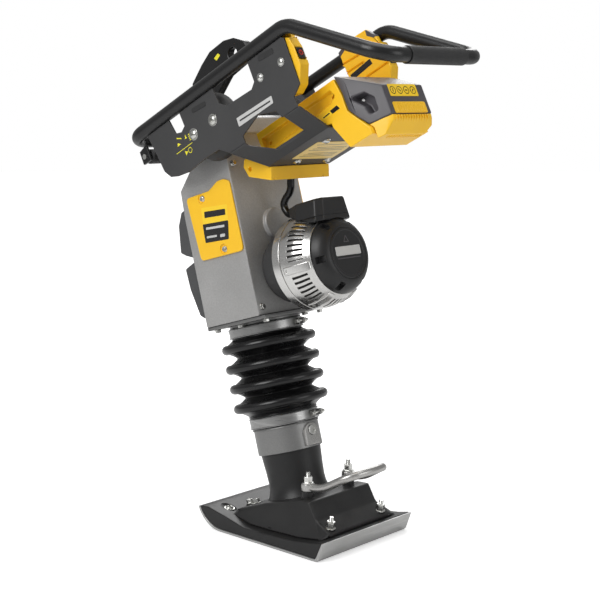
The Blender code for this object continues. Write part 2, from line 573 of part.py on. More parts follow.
def make_tray():
    """The folded battery tray between the plates."""
    outer = [(0.152, -0.0790), (0.152, -0.0815), (0.092, -0.1250)]
    inner = [(0.088, -0.1210), (0.148, -0.0790)]
    section = outer + [(-y, z) for y, z in reversed(outer)] + [(-y, z) for y, z in reversed(inner)] + inner
    tray = add_mesh("battery_tray", across(section, -0.256, -0.046), handle, CHARCOAL)
    front = [(-0.040, -0.070), (-0.040, -0.135), (-0.084, -0.135)]
    boolean(tray, add_mesh("tray_front_tool", slab(front, -0.2, 0.2), handle, None))
    for side in (-1, 1):
        low, high = sorted((side * 0.108, side * 0.16))
        window = slab([(-0.094, -0.070), (-0.094, -0.085), (-0.135, -0.114), (-0.214, -0.114), (-0.212, -0.070)],
                      low, high)
        boolean(tray, add_mesh(f"tray_window_tool_{side}", window, handle, None))


def make_dock():
    """The yellow battery dock, its latch and the controller box under the tray."""
    outline = [(-0.070, -0.050), (-0.302, -0.046), (-0.308, -0.080), (-0.308, -0.115), (-0.345, -0.168),
               (-0.345, -0.180), (-0.285, -0.180), (-0.262, -0.128), (-0.262, -0.1185), (-0.100, -0.1185),
               (-0.070, -0.090)]
    dock = add_mesh("battery_dock", slab(outline, -0.086, 0.086), handle, YELLOW)
    socket = block((-0.32, -0.2425), (-0.0685, 0.0685), (-0.1085, -0.0585))
    boolean(dock, add_mesh("socket_tool", socket, handle, None))
    add_mesh("dock_latch", block((-0.292, -0.262), (-0.022, 0.022), (-0.0455, -0.036)), handle, BLACK_PLASTIC)
    outline = [(-0.0800, -0.1258), (-0.0690, -0.1515), (-0.0137, -0.1192), (-0.0080, -0.0953), (-0.0165, -0.0821),
               (-0.0465, -0.0821), (-0.0757, -0.1258)]
    controller = add_mesh("controller_box", slab(outline, -0.088, 0.088), handle, YELLOW)
    gland = rod(0.0115, 0.7433, 0.7520, segments=20)
    gland.transform(Matrix.Translation((0.0465, 0.0, 0.0)))
    boolean(controller, add_mesh("gland_tool", gland, None, None), "UNION")


def make_uprights():
    """The two yellow boxes inside the rear of the handle, and the power button on the left one."""
    body = [(-0.178, 0.0570), (-0.268, 0.0570), (-0.285, 0.0500), (-0.290, 0.030), (-0.290, -0.010), (-0.272, -0.042),
            (-0.252, -0.052), (-0.200, -0.040), (-0.181, 0.010)]
    head = [(-0.178, 0.050), (-0.178, 0.080), (-0.215, 0.092), (-0.262, 0.090), (-0.281, 0.066), (-0.283, 0.050)]
    for name, side in (("upright_left", 1), ("upright_right", -1)):
        low, high = sorted((side * 0.1225, side * (PLATE_Y - PLATE_THICKNESS / 2 - GAP)))
        upright = add_mesh(name, slab(body, low, high), handle, YELLOW)
        low, high = sorted((side * 0.1225, side * (TUBE_Y - TUBE_RADIUS - 0.001)))
        boolean(upright, add_mesh(f"{name}_tool", slab(head, low, high), handle, None), "UNION")
        if side == 1:
            recess = block((-0.30, -0.2835), (0.1265, 0.1435), (0.0035, 0.0265))
            boolean(upright, add_mesh("button_recess_tool", recess, handle, None))
    button = add_mesh("power_button", block((-0.292, -0.2868), (0.1270, 0.1430), (0.0040, 0.0260)), handle,
                      BLACK_PLASTIC)
    bevel(button, 0.001, 1)


def make_front():
    """The beam and lifting bail, and the loading roller with its axle and brackets."""
    beam_x, beam_z = BEAM_CENTRE
    edge = PLATE_Y - PLATE_THICKNESS / 2 - GAP
    beam = rod(BEAM_RADIUS, -edge, edge, segments=24, axis="Y")
    beam.transform(Matrix.Translation((beam_x, 0.0, beam_z)))
    add_mesh("front_beam", beam, handle, CHARCOAL, True)
    outline = [(0.090, -0.020), (0.142, -0.020), (0.150, 0.060), (0.128, 0.163), (0.082, 0.186), (0.048, 0.199),
               (0.0, 0.200), (-0.030, 0.191), (-0.056, 0.1695), (-0.062, 0.150), (-0.050, 0.131), (0.020, 0.127),
               (0.066, 0.105), (0.078, 0.060)]
    bail = add_mesh("lifting_bail", slab(outline, -0.010, 0.010), handle, TUBE_BLACK)
    hole = rod(BEAM_RADIUS + GAP, -0.02, 0.02, segments=24, axis="Y")
    hole.transform(Matrix.Translation((beam_x, 0.0, beam_z)))
    boolean(bail, add_mesh("bail_foot_tool", hole, handle, None))
    eye = rod(0.013, -0.02, 0.02, segments=20, axis="Y")
    eye.transform(Matrix.Translation((-0.014, 0.0, 0.162)))
    boolean(bail, add_mesh("bail_eye_tool", eye, handle, None))
    add_mesh("front_roller", ring(0.0063, ROLLER_RADIUS, -0.118, 0.118, segments=24, axis="Y"), roller_axis,
             RUBBER, True)
    add_mesh("roller_axle", rod(0.006, -0.131, 0.131, segments=16, axis="Y"), roller_axis, BRIGHT_STEEL, True)
    centre_x, centre_z = ROLLER_CENTRE
    shape = [(0.203, 0.020), (0.229, 0.020), (0.229, 0.050), (0.203, 0.056)]
    for name, side in (("roller_bracket_left", 1), ("roller_bracket_right", -1)):
        low, high = sorted((side * 0.122, side * 0.128))
        bracket = add_mesh(name, slab(shape, low, high), handle, CHARCOAL)
        hole = rod(0.0063, low - 0.01, high + 0.01, segments=16, axis="Y")
        hole.transform(Matrix.Translation((centre_x, 0.0, centre_z)))
        boolean(bracket, add_mesh(f"{name}_tool", hole, handle, None))


# ---- battery ------------------------------------------------------------------------------------------
def tapered_slab(points, half_width):
    """A slab whose rear end, past the point where the pack narrows, is drawn in."""
    bm = slab(points, -half_width, half_width)
    for vert in bm.verts:
        if vert.co.x < PACK_NARROW_X:
            vert.co.y *= PACK_NARROWING
    return bm


def make_battery():
    """The battery pack: a case with its tongue, the cells inside and the ribbed base."""
    outline = [(-0.3035, -0.0405), (-0.3095, -0.0800), (-0.3095, -0.1145), (-0.3400, -0.1590),
               (-0.3860, -0.1590), (-0.3870, -0.0995)]
    case = add_mesh("battery_case", tapered_slab(outline, 0.085), handle, GREY_PLASTIC)
    tongue = block((-0.315, -0.2450), (-0.066, 0.066), (-0.106, -0.061))
    boolean(case, add_mesh("tongue_tool", tongue, handle, None), "UNION")
    inside = [(-0.3200, -0.0640), (-0.3200, -0.1120), (-0.3480, -0.1650), (-0.3800, -0.1650), (-0.3810, -0.1050)]
    boolean(case, add_mesh("case_inside_tool", tapered_slab(inside, 0.075), handle, None))
    cells = [(-0.3225, -0.0690), (-0.3225, -0.1100), (-0.3490, -0.1580), (-0.3780, -0.1580), (-0.3790, -0.1080)]
    add_mesh("cell_block", tapered_slab(cells, 0.062), handle, BRIGHT_STEEL)
    base = [(-0.3403, -0.1593), (-0.3465, -0.1680), (-0.3465, -0.190), (-0.380, -0.190), (-0.3855, -0.1593)]
    add_mesh("battery_base", tapered_slab(base, 0.083), handle, YELLOW)


make_shoe()
make_foot_casting()
make_lift_loop()
make_spring_leg()
make_housing()
make_bottom_flange()
make_covers()
make_drive()
make_motor()
make_terminal_box()
make_cable()
make_handle_tube()
make_side_plates()
make_tray()
make_dock()
make_uprights()
make_front()
make_battery()
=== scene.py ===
"""A jumping jack rammer with a battery drive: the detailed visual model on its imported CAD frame."""
import json
import logging
from dataclasses import dataclass, field
from enum import Enum
from math import atan2, cos, degrees, radians, sin, tan, tau
from typing import Callable, ClassVar, Iterable, Sequence

import bmesh
import bpy
from mathutils import Matrix, Vector

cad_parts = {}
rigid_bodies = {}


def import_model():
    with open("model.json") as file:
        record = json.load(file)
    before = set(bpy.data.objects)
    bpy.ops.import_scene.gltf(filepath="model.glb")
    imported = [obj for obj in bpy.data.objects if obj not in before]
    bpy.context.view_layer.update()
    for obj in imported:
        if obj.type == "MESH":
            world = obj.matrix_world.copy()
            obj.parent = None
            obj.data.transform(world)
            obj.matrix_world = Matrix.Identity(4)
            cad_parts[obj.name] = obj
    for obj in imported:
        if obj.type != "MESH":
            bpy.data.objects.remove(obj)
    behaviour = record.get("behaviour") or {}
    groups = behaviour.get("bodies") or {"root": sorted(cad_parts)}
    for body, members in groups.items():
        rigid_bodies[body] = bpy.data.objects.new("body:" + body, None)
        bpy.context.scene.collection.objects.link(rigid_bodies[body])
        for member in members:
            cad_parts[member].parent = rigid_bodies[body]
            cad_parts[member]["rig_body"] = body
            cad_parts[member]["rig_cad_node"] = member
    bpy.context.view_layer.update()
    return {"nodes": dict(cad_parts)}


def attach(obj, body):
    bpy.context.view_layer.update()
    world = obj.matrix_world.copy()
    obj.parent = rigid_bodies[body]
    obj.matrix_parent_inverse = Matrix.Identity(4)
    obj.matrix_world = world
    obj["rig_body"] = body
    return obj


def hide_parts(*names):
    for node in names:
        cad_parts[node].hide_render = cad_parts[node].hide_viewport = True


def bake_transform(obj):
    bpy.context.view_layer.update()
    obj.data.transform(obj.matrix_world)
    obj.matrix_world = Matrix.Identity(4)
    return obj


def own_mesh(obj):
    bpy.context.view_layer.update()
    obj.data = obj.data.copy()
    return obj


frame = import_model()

LOG = logging.getLogger("rammer")

Point2 = tuple[float, float]
Point3 = tuple[float, float, float]
Colour = tuple[float, float, float]
Test = Callable[[Vector, Vector], bool]


def leaning_frame(origin: Point3, lean: float) -> Matrix:
    """A frame turned about the side axis.

    Args:
        origin: where the frame's zero stands on the machine, in metres.
        lean: how far the frame's upright axis leans towards the toe, in degrees.

    Returns:
        The matrix from that frame to the machine's own.
    """
    c, s = cos(radians(lean)), sin(radians(lean))
    x, y, z = origin
    return Matrix(((c, 0, s, x), (0, 1, 0, y), (-s, 0, c, z), (0, 0, 0, 1)))


MACHINE = Matrix.Identity(4)
LEG = leaning_frame((0.0, 0.0, 0.0), 16.0)
HANDLE = leaning_frame((0.1468, 0.0, 0.8481), 26.5)
MOTOR = LEG @ Matrix(((0, 0, -1, 0), (0, 1, 0, 0), (1, 0, 0, 0.547), (0, 0, 0, 1)))


class Plane(Enum):
    """The plane that an outline is drawn in; the piece grows along the third axis."""

    SIDE = "xz"
    TOP = "xy"
    REAR = "yz"

    def at(self, point: Point2, depth: float) -> Vector:
        """The outline point at a depth, as a place in the piece's frame."""
        u, v = point
        return {"xz": Vector((u, depth, v)), "xy": Vector((u, v, depth)),
            "yz": Vector((depth, u, v))}[self.value]


def clear_bench() -> None:
    """Goes back to object mode with nothing selected."""
    if bpy.context.object is not None and bpy.context.object.mode != "OBJECT":
        bpy.ops.object.mode_set(mode="OBJECT")
    bpy.ops.object.select_all(action="DESELECT")


def rounded(points: Sequence[Point2], radius: float | Sequence[float], steps: int = 5) -> list[Point2]:
    """Rounds the corners of a closed outline.

    Args:
        points: the outline's corners, in order.
        radius: one radius for all the corners, or one for each.
        steps: how many short edges make a round corner.

    Returns:
        The outline with an arc in place of each corner.
    """
    radii = [radius] * len(points) if isinstance(radius, (int, float)) else list(radius)
    corners = [Vector(p) for p in points]
    out: list[Point2] = []
    for i, corner in enumerate(corners):
        to_last, to_next = corners[i - 1] - corner, corners[(i + 1) % len(corners)] - corner
        half = to_last.angle(to_next) / 2
        reach = min(radii[i] / max(tan(half), 1e-6), 0.48 * to_last.length, 0.48 * to_next.length)
        if reach < 1e-5 or half > 1.54:
            out.append(tuple(corner))
            continue
        a, b = corner + to_last.normalized() * reach, corner + to_next.normalized() * reach
        for k in range(steps + 1):
            t = k / steps
            out.append(tuple(a * (1 - t) ** 2 + corner * 2 * t * (1 - t) + b * t ** 2))
    return out


def flowing(points: Sequence[Point3], per_span: int = 6) -> list[Vector]:
    """A smooth path through the given points, with per_span steps between neighbours."""
    knots = [Vector(p) for p in points]
    ends = [2 * knots[0] - knots[1]] + knots + [2 * knots[-1] - knots[-2]]
    path: list[Vector] = []
    for p0, p1, p2, p3 in zip(ends, ends[1:], ends[2:], ends[3:]):
        for step in range(per_span):
            t = step / per_span
            path.append(0.5 * (2 * p1 + (p2 - p0) * t + (2 * p0 - 5 * p1 + 4 * p2 - p3) * t * t
                + (3 * p1 - p0 - 3 * p2 + p3) * t ** 3))
    return path + [knots[-1]]


def bent(points: Sequence[Point3], radii: Sequence[float], steps: int = 12) -> list[Vector]:
    """A closed path of straight runs with a round bend at each corner.

    Args:
        points: the corners, in order.
        radii: the bend radius at each corner.
        steps: how many short runs make a bend.

    Returns:
        The path's points.
    """
    knots = [Vector(p) for p in points]
    path: list[Vector] = []
    for i, corner in enumerate(knots):
        u = (knots[i - 1] - corner).normalized()
        v = (knots[(i + 1) % len(knots)] - corner).normalized()
        half = u.angle(v) / 2
        reach = radii[i] / tan(half)
        centre = corner + (u + v).normalized() * radii[i] / sin(half)
        a, b = corner + u * reach - centre, corner + v * reach - centre
        sweep = a.angle(b)
        for k in range(steps + 1):
            t = k / steps
            path.append(centre + (a * sin((1 - t) * sweep) + b * sin(t * sweep)) / sin(sweep))
    return path


def six_sided(corner: float) -> list[Point2]:
    """A hexagon whose corners are this far from its middle."""
    return [(corner * cos(radians(60 * k)), corner * sin(radians(60 * k))) for k in range(6)]


def standing(at: Point3, towards: Point3, turn: float = 0.0) -> Matrix:
    """The matrix that stands a piece at a point, with its top towards a direction, turned about it."""
    upright = Vector(towards).to_track_quat("Z", "Y").to_matrix().to_4x4()
    return Matrix.Translation(at) @ upright @ Matrix.Rotation(radians(turn), 4, "Z")


class Piece:
    """One mesh on the bench, shaped with operators in its own frame, then placed and dressed."""

    def __init__(self, obj: bpy.types.Object) -> None:
        """Takes up an object as the piece being worked on."""
        self.obj = obj

    @classmethod
    def _started(cls, name: str) -> "Piece":
        """Names the primitive that was just added and takes it up."""
        piece = cls(bpy.context.object)
        piece.obj.name = name
        piece.obj.data.name = name
        return piece

    @classmethod
    def block(cls, name: str, x: Point2, y: Point2, z: Point2) -> "Piece":
        """A block between the given limits on each axis."""
        clear_bench()
        spans = [(low + high) / 2 for low, high in (x, y, z)], [high - low for low, high in (x, y, z)]
        bpy.ops.mesh.primitive_cube_add(size=1.0, location=spans[0], scale=spans[1])
        return cls._started(name).settle()

    @classmethod
    def plate(cls, name: str, outline: Sequence[Point2], low: float, high: float,
            plane: Plane = Plane.SIDE) -> "Piece":
        """A plate cut to an outline.

        Args:
            name: the piece's name.
            outline: the outline's points, in order.
            low: where the plate starts along the plane's third axis.
            high: where it ends.
            plane: the plane of the outline.

        Returns:
            The piece.
        """
        clear_bench()
        bpy.ops.mesh.primitive_circle_add(vertices=len(outline), radius=0.01, fill_type="NGON")
        piece = cls._started(name)
        for vert, point in zip(piece.obj.data.vertices, outline):
            vert.co = plane.at(point, low)
        piece.edit()
        bpy.ops.mesh.select_all(action="SELECT")
        bpy.ops.mesh.extrude_region_move(TRANSFORM_OT_translate={"value": plane.at((0.0, 0.0), high - low)})
        return piece.face_outwards()

    @classmethod
    def turned(cls, name: str, profile: Sequence[Point2], steps: int = 72, closed: bool = True,
            axis: str = "Z") -> "Piece":
        """A piece turned on a lathe.

        Args:
            name: the piece's name.
            profile: (radius, height) points of half the section.
            steps: how many faces go round.
            closed: whether the profile's last point joins its first.
            axis: the lathe's axis, "Z" or "Y".

        Returns:
            The piece.
        """
        clear_bench()
        bpy.ops.mesh.primitive_circle_add(vertices=len(profile), radius=0.01, fill_type="NOTHING")
        piece = cls._started(name)
        for vert, (radius, height) in zip(piece.obj.data.vertices, profile):
            vert.co = (radius, 0.0, height) if axis == "Z" else (radius, height, 0.0)
        if not closed:
            last = len(profile) - 1
            piece.pick_edges(lambda edge: {edge.verts[0].index, edge.verts[1].index} == {0, last})
            bpy.ops.mesh.delete(type="EDGE")
        piece.edit()
        bpy.ops.mesh.select_all(action="SELECT")
        bpy.ops.mesh.spin(steps=steps, angle=tau, center=(0, 0, 0), axis=(0, 0, 1) if axis == "Z"
            else (0, 1, 0))
        return piece.face_outwards()

    @classmethod
    def pipe(cls, name: str, path: Iterable[Sequence[float]], radius: float, closed: bool = False,
            sides: int = 6) -> "Piece":
        """A round bar or tube along a path.

        Args:
            name: the piece's name.
            path: the centreline's points.
            radius: the bar's radius.
            closed: whether the path runs back into its start.
            sides: the bevel resolution; the bar has twice that and four more faces round.

        Returns:
            The piece.
        """
        clear_bench()
        bpy.ops.curve.primitive_nurbs_path_add()
        curve = bpy.context.object.data
        curve.splines.clear()
        points = [tuple(p) for p in path]
        spline = curve.splines.new("POLY")
        spline.points.add(len(points) - 1)
        for knot, point in zip(spline.points, points):
            knot.co = (*point, 1.0)
        spline.use_cyclic_u = closed
        curve.dimensions, curve.bevel_depth, curve.bevel_resolution = "3D", radius, sides
        curve.use_fill_caps = not closed
        bpy.ops.object.convert(target="MESH")
        return cls._started(name).face_outwards()

    @classmethod
    def of_node(cls, name: str, node: str, frame_of: Matrix = MACHINE) -> "Piece":
        """A merged, cleaned copy of a CAD node, brought into a local frame for more work."""
        clear_bench()
        copy = frame["nodes"][node].copy()
        copy.data = copy.data.copy()
        copy.parent = None
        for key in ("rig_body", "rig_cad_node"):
            del copy[key]
        bpy.context.scene.collection.objects.link(copy)
        piece = cls(copy)
        copy.name = copy.data.name = name
        copy.data.transform(frame_of.inverted())
        piece.edit()
        bpy.ops.mesh.select_all(action="SELECT")
        bpy.ops.mesh.remove_doubles(threshold=2e-5)
        bpy.ops.mesh.select_all(action="SELECT")
        bpy.ops.mesh.dissolve_limited(angle_limit=radians(1.0))
        return piece.face_outwards()

    def hold(self) -> "Piece":
        """Selects this piece alone."""
        clear_bench()
        self.obj.hide_viewport = False
        self.obj.select_set(True)
        bpy.context.view_layer.objects.active = self.obj
        return self

    def edit(self) -> "Piece":
        """Opens this piece in edit mode."""
        if bpy.context.mode != "EDIT_MESH" or bpy.context.edit_object is not self.obj:
            self.hold()
            bpy.ops.object.mode_set(mode="EDIT")
        return self

    def face_outwards(self) -> "Piece":
        """Merges doubled points and turns every face outwards."""
        self.edit()
        bpy.ops.mesh.select_all(action="SELECT")
        bpy.ops.mesh.remove_doubles(threshold=1e-6)
        bpy.ops.mesh.select_all(action="SELECT")
        bpy.ops.mesh.normals_make_consistent(inside=False)
        return self.hold()

    def settle(self) -> "Piece":
        """Puts the object's place, turn and size into its mesh."""
        self.hold()
        bpy.ops.object.transform_apply(location=True, rotation=True, scale=True)
        return self

    def place(self, where: Matrix) -> "Piece":
        """Moves the piece from its own frame to where it goes, in its mesh."""
        self.hold()
        self.obj.matrix_world = where
        return self.settle()

    def pick_faces(self, test: Test) -> "Piece":
        """Selects, in edit mode, the faces whose centre and normal pass the test."""
        self.edit()
        bpy.ops.mesh.select_mode(type="FACE")
        bpy.ops.mesh.select_all(action="DESELECT")
        mesh = bmesh.from_edit_mesh(self.obj.data)
        for face in mesh.faces:
            face.select_set(test(face.calc_center_median(), face.normal))
        bmesh.update_edit_mesh(self.obj.data)
        return self

    def pick_edges(self, test: Callable[[bmesh.types.BMEdge], bool]) -> "Piece":
        """Selects, in edit mode, the edges that pass the test."""
        self.edit()
        bpy.ops.mesh.select_mode(type="EDGE")
        bpy.ops.mesh.select_all(action="DESELECT")
        mesh = bmesh.from_edit_mesh(self.obj.data)
        mesh.edges.index_update()
        mesh.verts.index_update()
        for edge in mesh.edges:
            edge.select_set(test(edge))
        bmesh.update_edit_mesh(self.obj.data)
        return self

    def inset(self, thickness: float, depth: float = 0.0, each: bool = False) -> "Piece":
        """Insets the picked faces, and raises (or sinks, below zero) what is inside."""
        bpy.ops.mesh.inset(thickness=thickness, depth=0.0, use_individual=each, use_even_offset=True)
        if depth:
            bpy.ops.mesh.extrude_region_shrink_fatten(TRANSFORM_OT_shrink_fatten={"value": depth,
                "use_even_offset": False})
        return self

    def stain_picked(self, finish: "Finish") -> "Piece":
        """Gives the picked faces a finish of their own, which dress leaves as it is."""
        mesh = self.obj.data
        if not mesh.materials:
            mesh.materials.append(None)
        if finish.name not in [m.name for m in mesh.materials if m is not None]:
            mesh.materials.append(finish.material())
        self.obj.active_material_index = len(mesh.materials) - 1
        bpy.ops.object.material_slot_assign()
        return self

    def shrink(self, factor: float) -> "Piece":
        """Scales the whole piece about its middle."""
        points = [Vector(v.co) for v in self.obj.data.vertices]
        centre = sum(points, Vector()) / len(points)
        self.hold()
        return self.place(Matrix.Translation(centre) @ Matrix.Scale(factor, 4) @ Matrix.Translation(-centre))

    def scale_picked(self, factors: Point3, centre: Point3 = (0.0, 0.0, 0.0)) -> "Piece":
        """Scales what is picked about a point."""
        bpy.ops.transform.resize(value=factors, center_override=centre)
        return self

    def move_picked(self, step: Point3) -> "Piece":
        """Moves what is picked."""
        bpy.ops.transform.translate(value=step)
        return self

    def round_edges(self, width: float, segments: int = 3, angle: float = 32.0) -> "Piece":
        """Rounds every edge sharper than an angle."""
        self.hold()
        bpy.ops.object.modifier_add(type="BEVEL")
        bevel = self.obj.modifiers[-1]
        bevel.width, bevel.segments, bevel.limit_method = width, segments, "ANGLE"
        bevel.angle_limit, bevel.use_clamp_overlap = radians(angle), False
        bevel.miter_outer = "MITER_ARC"
        bpy.ops.object.modifier_apply(modifier=bevel.name)
        return self

    def _boolean(self, tools: Iterable["Piece"], operation: str) -> "Piece":
        """Combines the piece with each tool in turn, and throws the tool away."""
        for tool in tools:
            self.hold()
            bpy.ops.object.modifier_add(type="BOOLEAN")
            modifier = self.obj.modifiers[-1]
            modifier.operation, modifier.solver, modifier.object = operation, "EXACT", tool.obj
            bpy.ops.object.modifier_apply(modifier=modifier.name)
            bpy.data.objects.remove(tool.obj)
        return self

    def cut(self, *tools: "Piece") -> "Piece":
        """Cuts the tools' shapes away."""
        return self._boolean(tools, "DIFFERENCE")

    def fuse(self, *tools: "Piece") -> "Piece":
        """Makes one solid with the tools' shapes."""
        return self._boolean(tools, "UNION")

    def join(self, *others: "Piece") -> "Piece":
        """Joins other pieces into this one as they are."""
        self.hold()
        for other in others:
            other.obj.select_set(True)
        bpy.ops.object.join()
        return self

    def twin(self, name: str, where: Matrix = MACHINE) -> "Piece":
        """A copy with its own mesh, moved by a matrix; a mirrored copy is turned right side out."""
        self.hold()
        bpy.ops.object.duplicate()
        copy = Piece(bpy.context.object)
        copy.obj.name = copy.obj.data.name = name
        copy.place(where)
        return copy.face_outwards() if where.determinant() < 0 else copy

    def smooth(self, angle: float = 38.0) -> "Piece":
        """Shades smoothly across edges flatter than an angle, with flat faces kept flat."""
        self.hold()
        bpy.ops.object.shade_smooth_by_angle(angle=radians(angle))
        bpy.ops.object.modifier_add(type="WEIGHTED_NORMAL")
        weighted = self.obj.modifiers[-1]
        weighted.keep_sharp = True
        bpy.ops.object.modifier_apply(modifier=weighted.name)
        return self

    def dress(self, finish: "Finish", body: str, slot: str, stands_for: Sequence[str] = ()) -> "Piece":
        """Gives the piece its finish and its body.

        Args:
            finish: the surface finish.
            body: the CAD body that it moves with.
            slot: not used.
            stands_for: CAD nodes that it replaces.

        Returns:
            The piece.
        """
        self.paint(finish)
        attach(self.obj, body)
        if stands_for:
            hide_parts(*stands_for)
        LOG.info("fitted %s to %s", self.obj.name, body)
        return self

    def dress_bending(self, finish: "Finish", bodies: tuple[str, str], span: tuple[Vector, Vector],
            slot: str, node: str) -> "Piece":
        """Gives a piece that joins two bodies its finish, and bakes its place into its mesh.

        Args:
            finish: the surface finish.
            bodies: the bodies at its two ends.
            span: not used.
            slot: not used.
            node: the CAD node that it replaces.

        Returns:
            The piece.
        """
        self.paint(finish)
        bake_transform(self.obj)
        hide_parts(node)
        LOG.info("fitted %s between %s and %s", self.obj.name, *bodies)
        return self

    def paint(self, finish: "Finish") -> None:
        """Puts a finish all over the piece."""
        clear_bench()
        if not self.obj.data.materials or self.obj.data.materials[0] is not None:
            self.obj.data.materials.clear()
            self.obj.data.materials.append(None)
        self.obj.data.materials[0] = finish.material()


# ---- shader groups -------------------------------------------------------------------------------------
class ShaderSheet:
    """A node tree being laid out, with short calls for adding and joining nodes."""

    def __init__(self, tree: bpy.types.NodeTree) -> None:
        """Takes up a node tree."""
        self.tree = tree

    def add(self, kind: str, inputs: dict | None = None, **settings) -> bpy.types.Node:
        """Adds a node.

        Args:
            kind: the node's type name without "ShaderNode".
            inputs: a value or an output socket for each named or numbered input.
            **settings: the node's own settings.

        Returns:
            The node.
        """
        node = self.tree.nodes.new("ShaderNode" + kind)
        for name, value in settings.items():
            setattr(node, name, value)
        for key, value in (inputs or {}).items():
            if isinstance(value, bpy.types.NodeSocket):
                self.tree.links.new(value, node.inputs[key])
            else:
                node.inputs[key].default_value = value
        return node

    def math(self, operation: str, a, b=0.0, clamp: bool = False) -> bpy.types.NodeSocket:
        """One sum of two values or sockets."""
        return self.add("Math", {0: a, 1: b}, operation=operation, use_clamp=clamp).outputs[0]

    def spread(self, value, low: float, high: float, new_low: float,
            new_high: float) -> bpy.types.NodeSocket:
        """A value carried from one range to another, held inside it."""
        return self.add("MapRange", {0: value, 1: low, 2: high, 3: new_low, 4: new_high}).outputs[0]

    def mix(self, factor, a, b, blend: str = "MIX") -> bpy.types.NodeSocket:
        """A mix of two colours."""
        node = self.add("Mix", data_type="RGBA", blend_type=blend)
        for key, value in ((0, factor), (6, a), (7, b)):
            if isinstance(value, bpy.types.NodeSocket):
                self.tree.links.new(value, node.inputs[key])
            else:
                node.inputs[key].default_value = value if key == 0 or len(value) == 4 else (*value, 1.0)
        return node.outputs[2]


class ShaderGroup:
    """A surface effect as a node group with named sockets, built once."""

    name: ClassVar[str] = ""
    takes: ClassVar[dict[str, float]] = {}
    gives: ClassVar[tuple[str, ...]] = ()

    def tree(self) -> bpy.types.NodeTree:
        """The group, built when it is first asked for."""
        if self.name in bpy.data.node_groups:
            return bpy.data.node_groups[self.name]
        tree = bpy.data.node_groups.new(self.name, "ShaderNodeTree")
        for name, value in self.takes.items():
            socket = tree.interface.new_socket(name=name, in_out="INPUT", socket_type="NodeSocketFloat")
            socket.default_value = value
        for name in self.gives:
            tree.interface.new_socket(name=name, in_out="OUTPUT", socket_type="NodeSocketFloat")
        source, sink = tree.nodes.new("NodeGroupInput"), tree.nodes.new("NodeGroupOutput")
        for name, socket in self.lay(ShaderSheet(tree), source).items():
            tree.links.new(socket, sink.inputs[name])
        return tree

    def lay(self, sheet: ShaderSheet, source: bpy.types.Node) -> dict[str, bpy.types.NodeSocket]:
        """Lays the group's nodes, and returns the socket for each output."""
        raise NotImplementedError

    def put(self, sheet: ShaderSheet, **values: float) -> bpy.types.Node:
        """Places the group in a material with its own values; an input's name has _ for a space."""
        node = sheet.tree.nodes.new("ShaderNodeGroup")
        node.node_tree = self.tree()
        for name, value in values.items():
            node.inputs[name.replace("_", " ")].default_value = value
        return node


class GrainGroup(ShaderGroup):
    """Fine surface grain over slow patches, as on cast, moulded or powder-coated parts."""

    name = "surface grain"
    takes = {"Scale": 600.0, "Patch Scale": 9.0, "Pits": 0.3}
    gives = ("Height", "Patches", "Fleck")

    def lay(self, sheet: ShaderSheet, source: bpy.types.Node) -> dict[str, bpy.types.NodeSocket]:
        """Two sizes of noise for the grain, small cells for pits, and slow noise for the patches."""
        where = sheet.add("TexCoord").outputs["Object"]
        grain = sheet.add("TexNoise", {"Vector": where, "Scale": source.outputs["Scale"], "Detail": 3.0,
            "Roughness": 0.62}).outputs[0]
        cells = sheet.add("TexVoronoi", {"Vector": where,
            "Scale": source.outputs["Scale"]}).outputs["Distance"]
        pits = sheet.math("MULTIPLY", sheet.spread(cells, 0.0, 0.42, -1.0, 0.0), source.outputs["Pits"])
        patches = sheet.add("TexNoise", {"Vector": where, "Scale": source.outputs["Patch Scale"],
            "Detail": 4.0, "Roughness": 0.55}).outputs[0]
        return {"Height": sheet.math("ADD", grain, pits), "Patches": sheet.spread(patches, 0.32, 0.68, 0.0,
            1.0), "Fleck": sheet.spread(grain, 0.35, 0.65, 0.0, 1.0)}


class BrushedGroup(ShaderGroup):
    """Fine lines left by turning, grinding or rolling, along the lengthwise axis."""

    name = "brushed lines"
    takes = {"Across": 900.0, "Along": 30.0}
    gives = ("Lines", "Scratches")

    def lay(self, sheet: ShaderSheet, source: bpy.types.Node) -> dict[str, bpy.types.NodeSocket]:
        """Noise drawn out along one axis, and a few deeper scratches."""
        where = sheet.add("TexCoord").outputs["Object"]
        stretch = sheet.add("CombineXYZ", {0: source.outputs["Along"], 1: source.outputs["Along"],
            2: source.outputs["Across"]}).outputs[0]
        drawn = sheet.add("VectorMath", {0: where, 1: stretch}, operation="MULTIPLY").outputs[0]
        lines = sheet.add("TexNoise", {"Vector": drawn, "Scale": 1.0, "Detail": 3.0,
            "Roughness": 0.7}).outputs[0]
        deep = sheet.add("TexNoise", {"Vector": drawn, "Scale": 0.31, "Detail": 1.0}).outputs[0]
        return {"Lines": lines, "Scratches": sheet.spread(deep, 0.62, 0.72, 0.0, 1.0)}


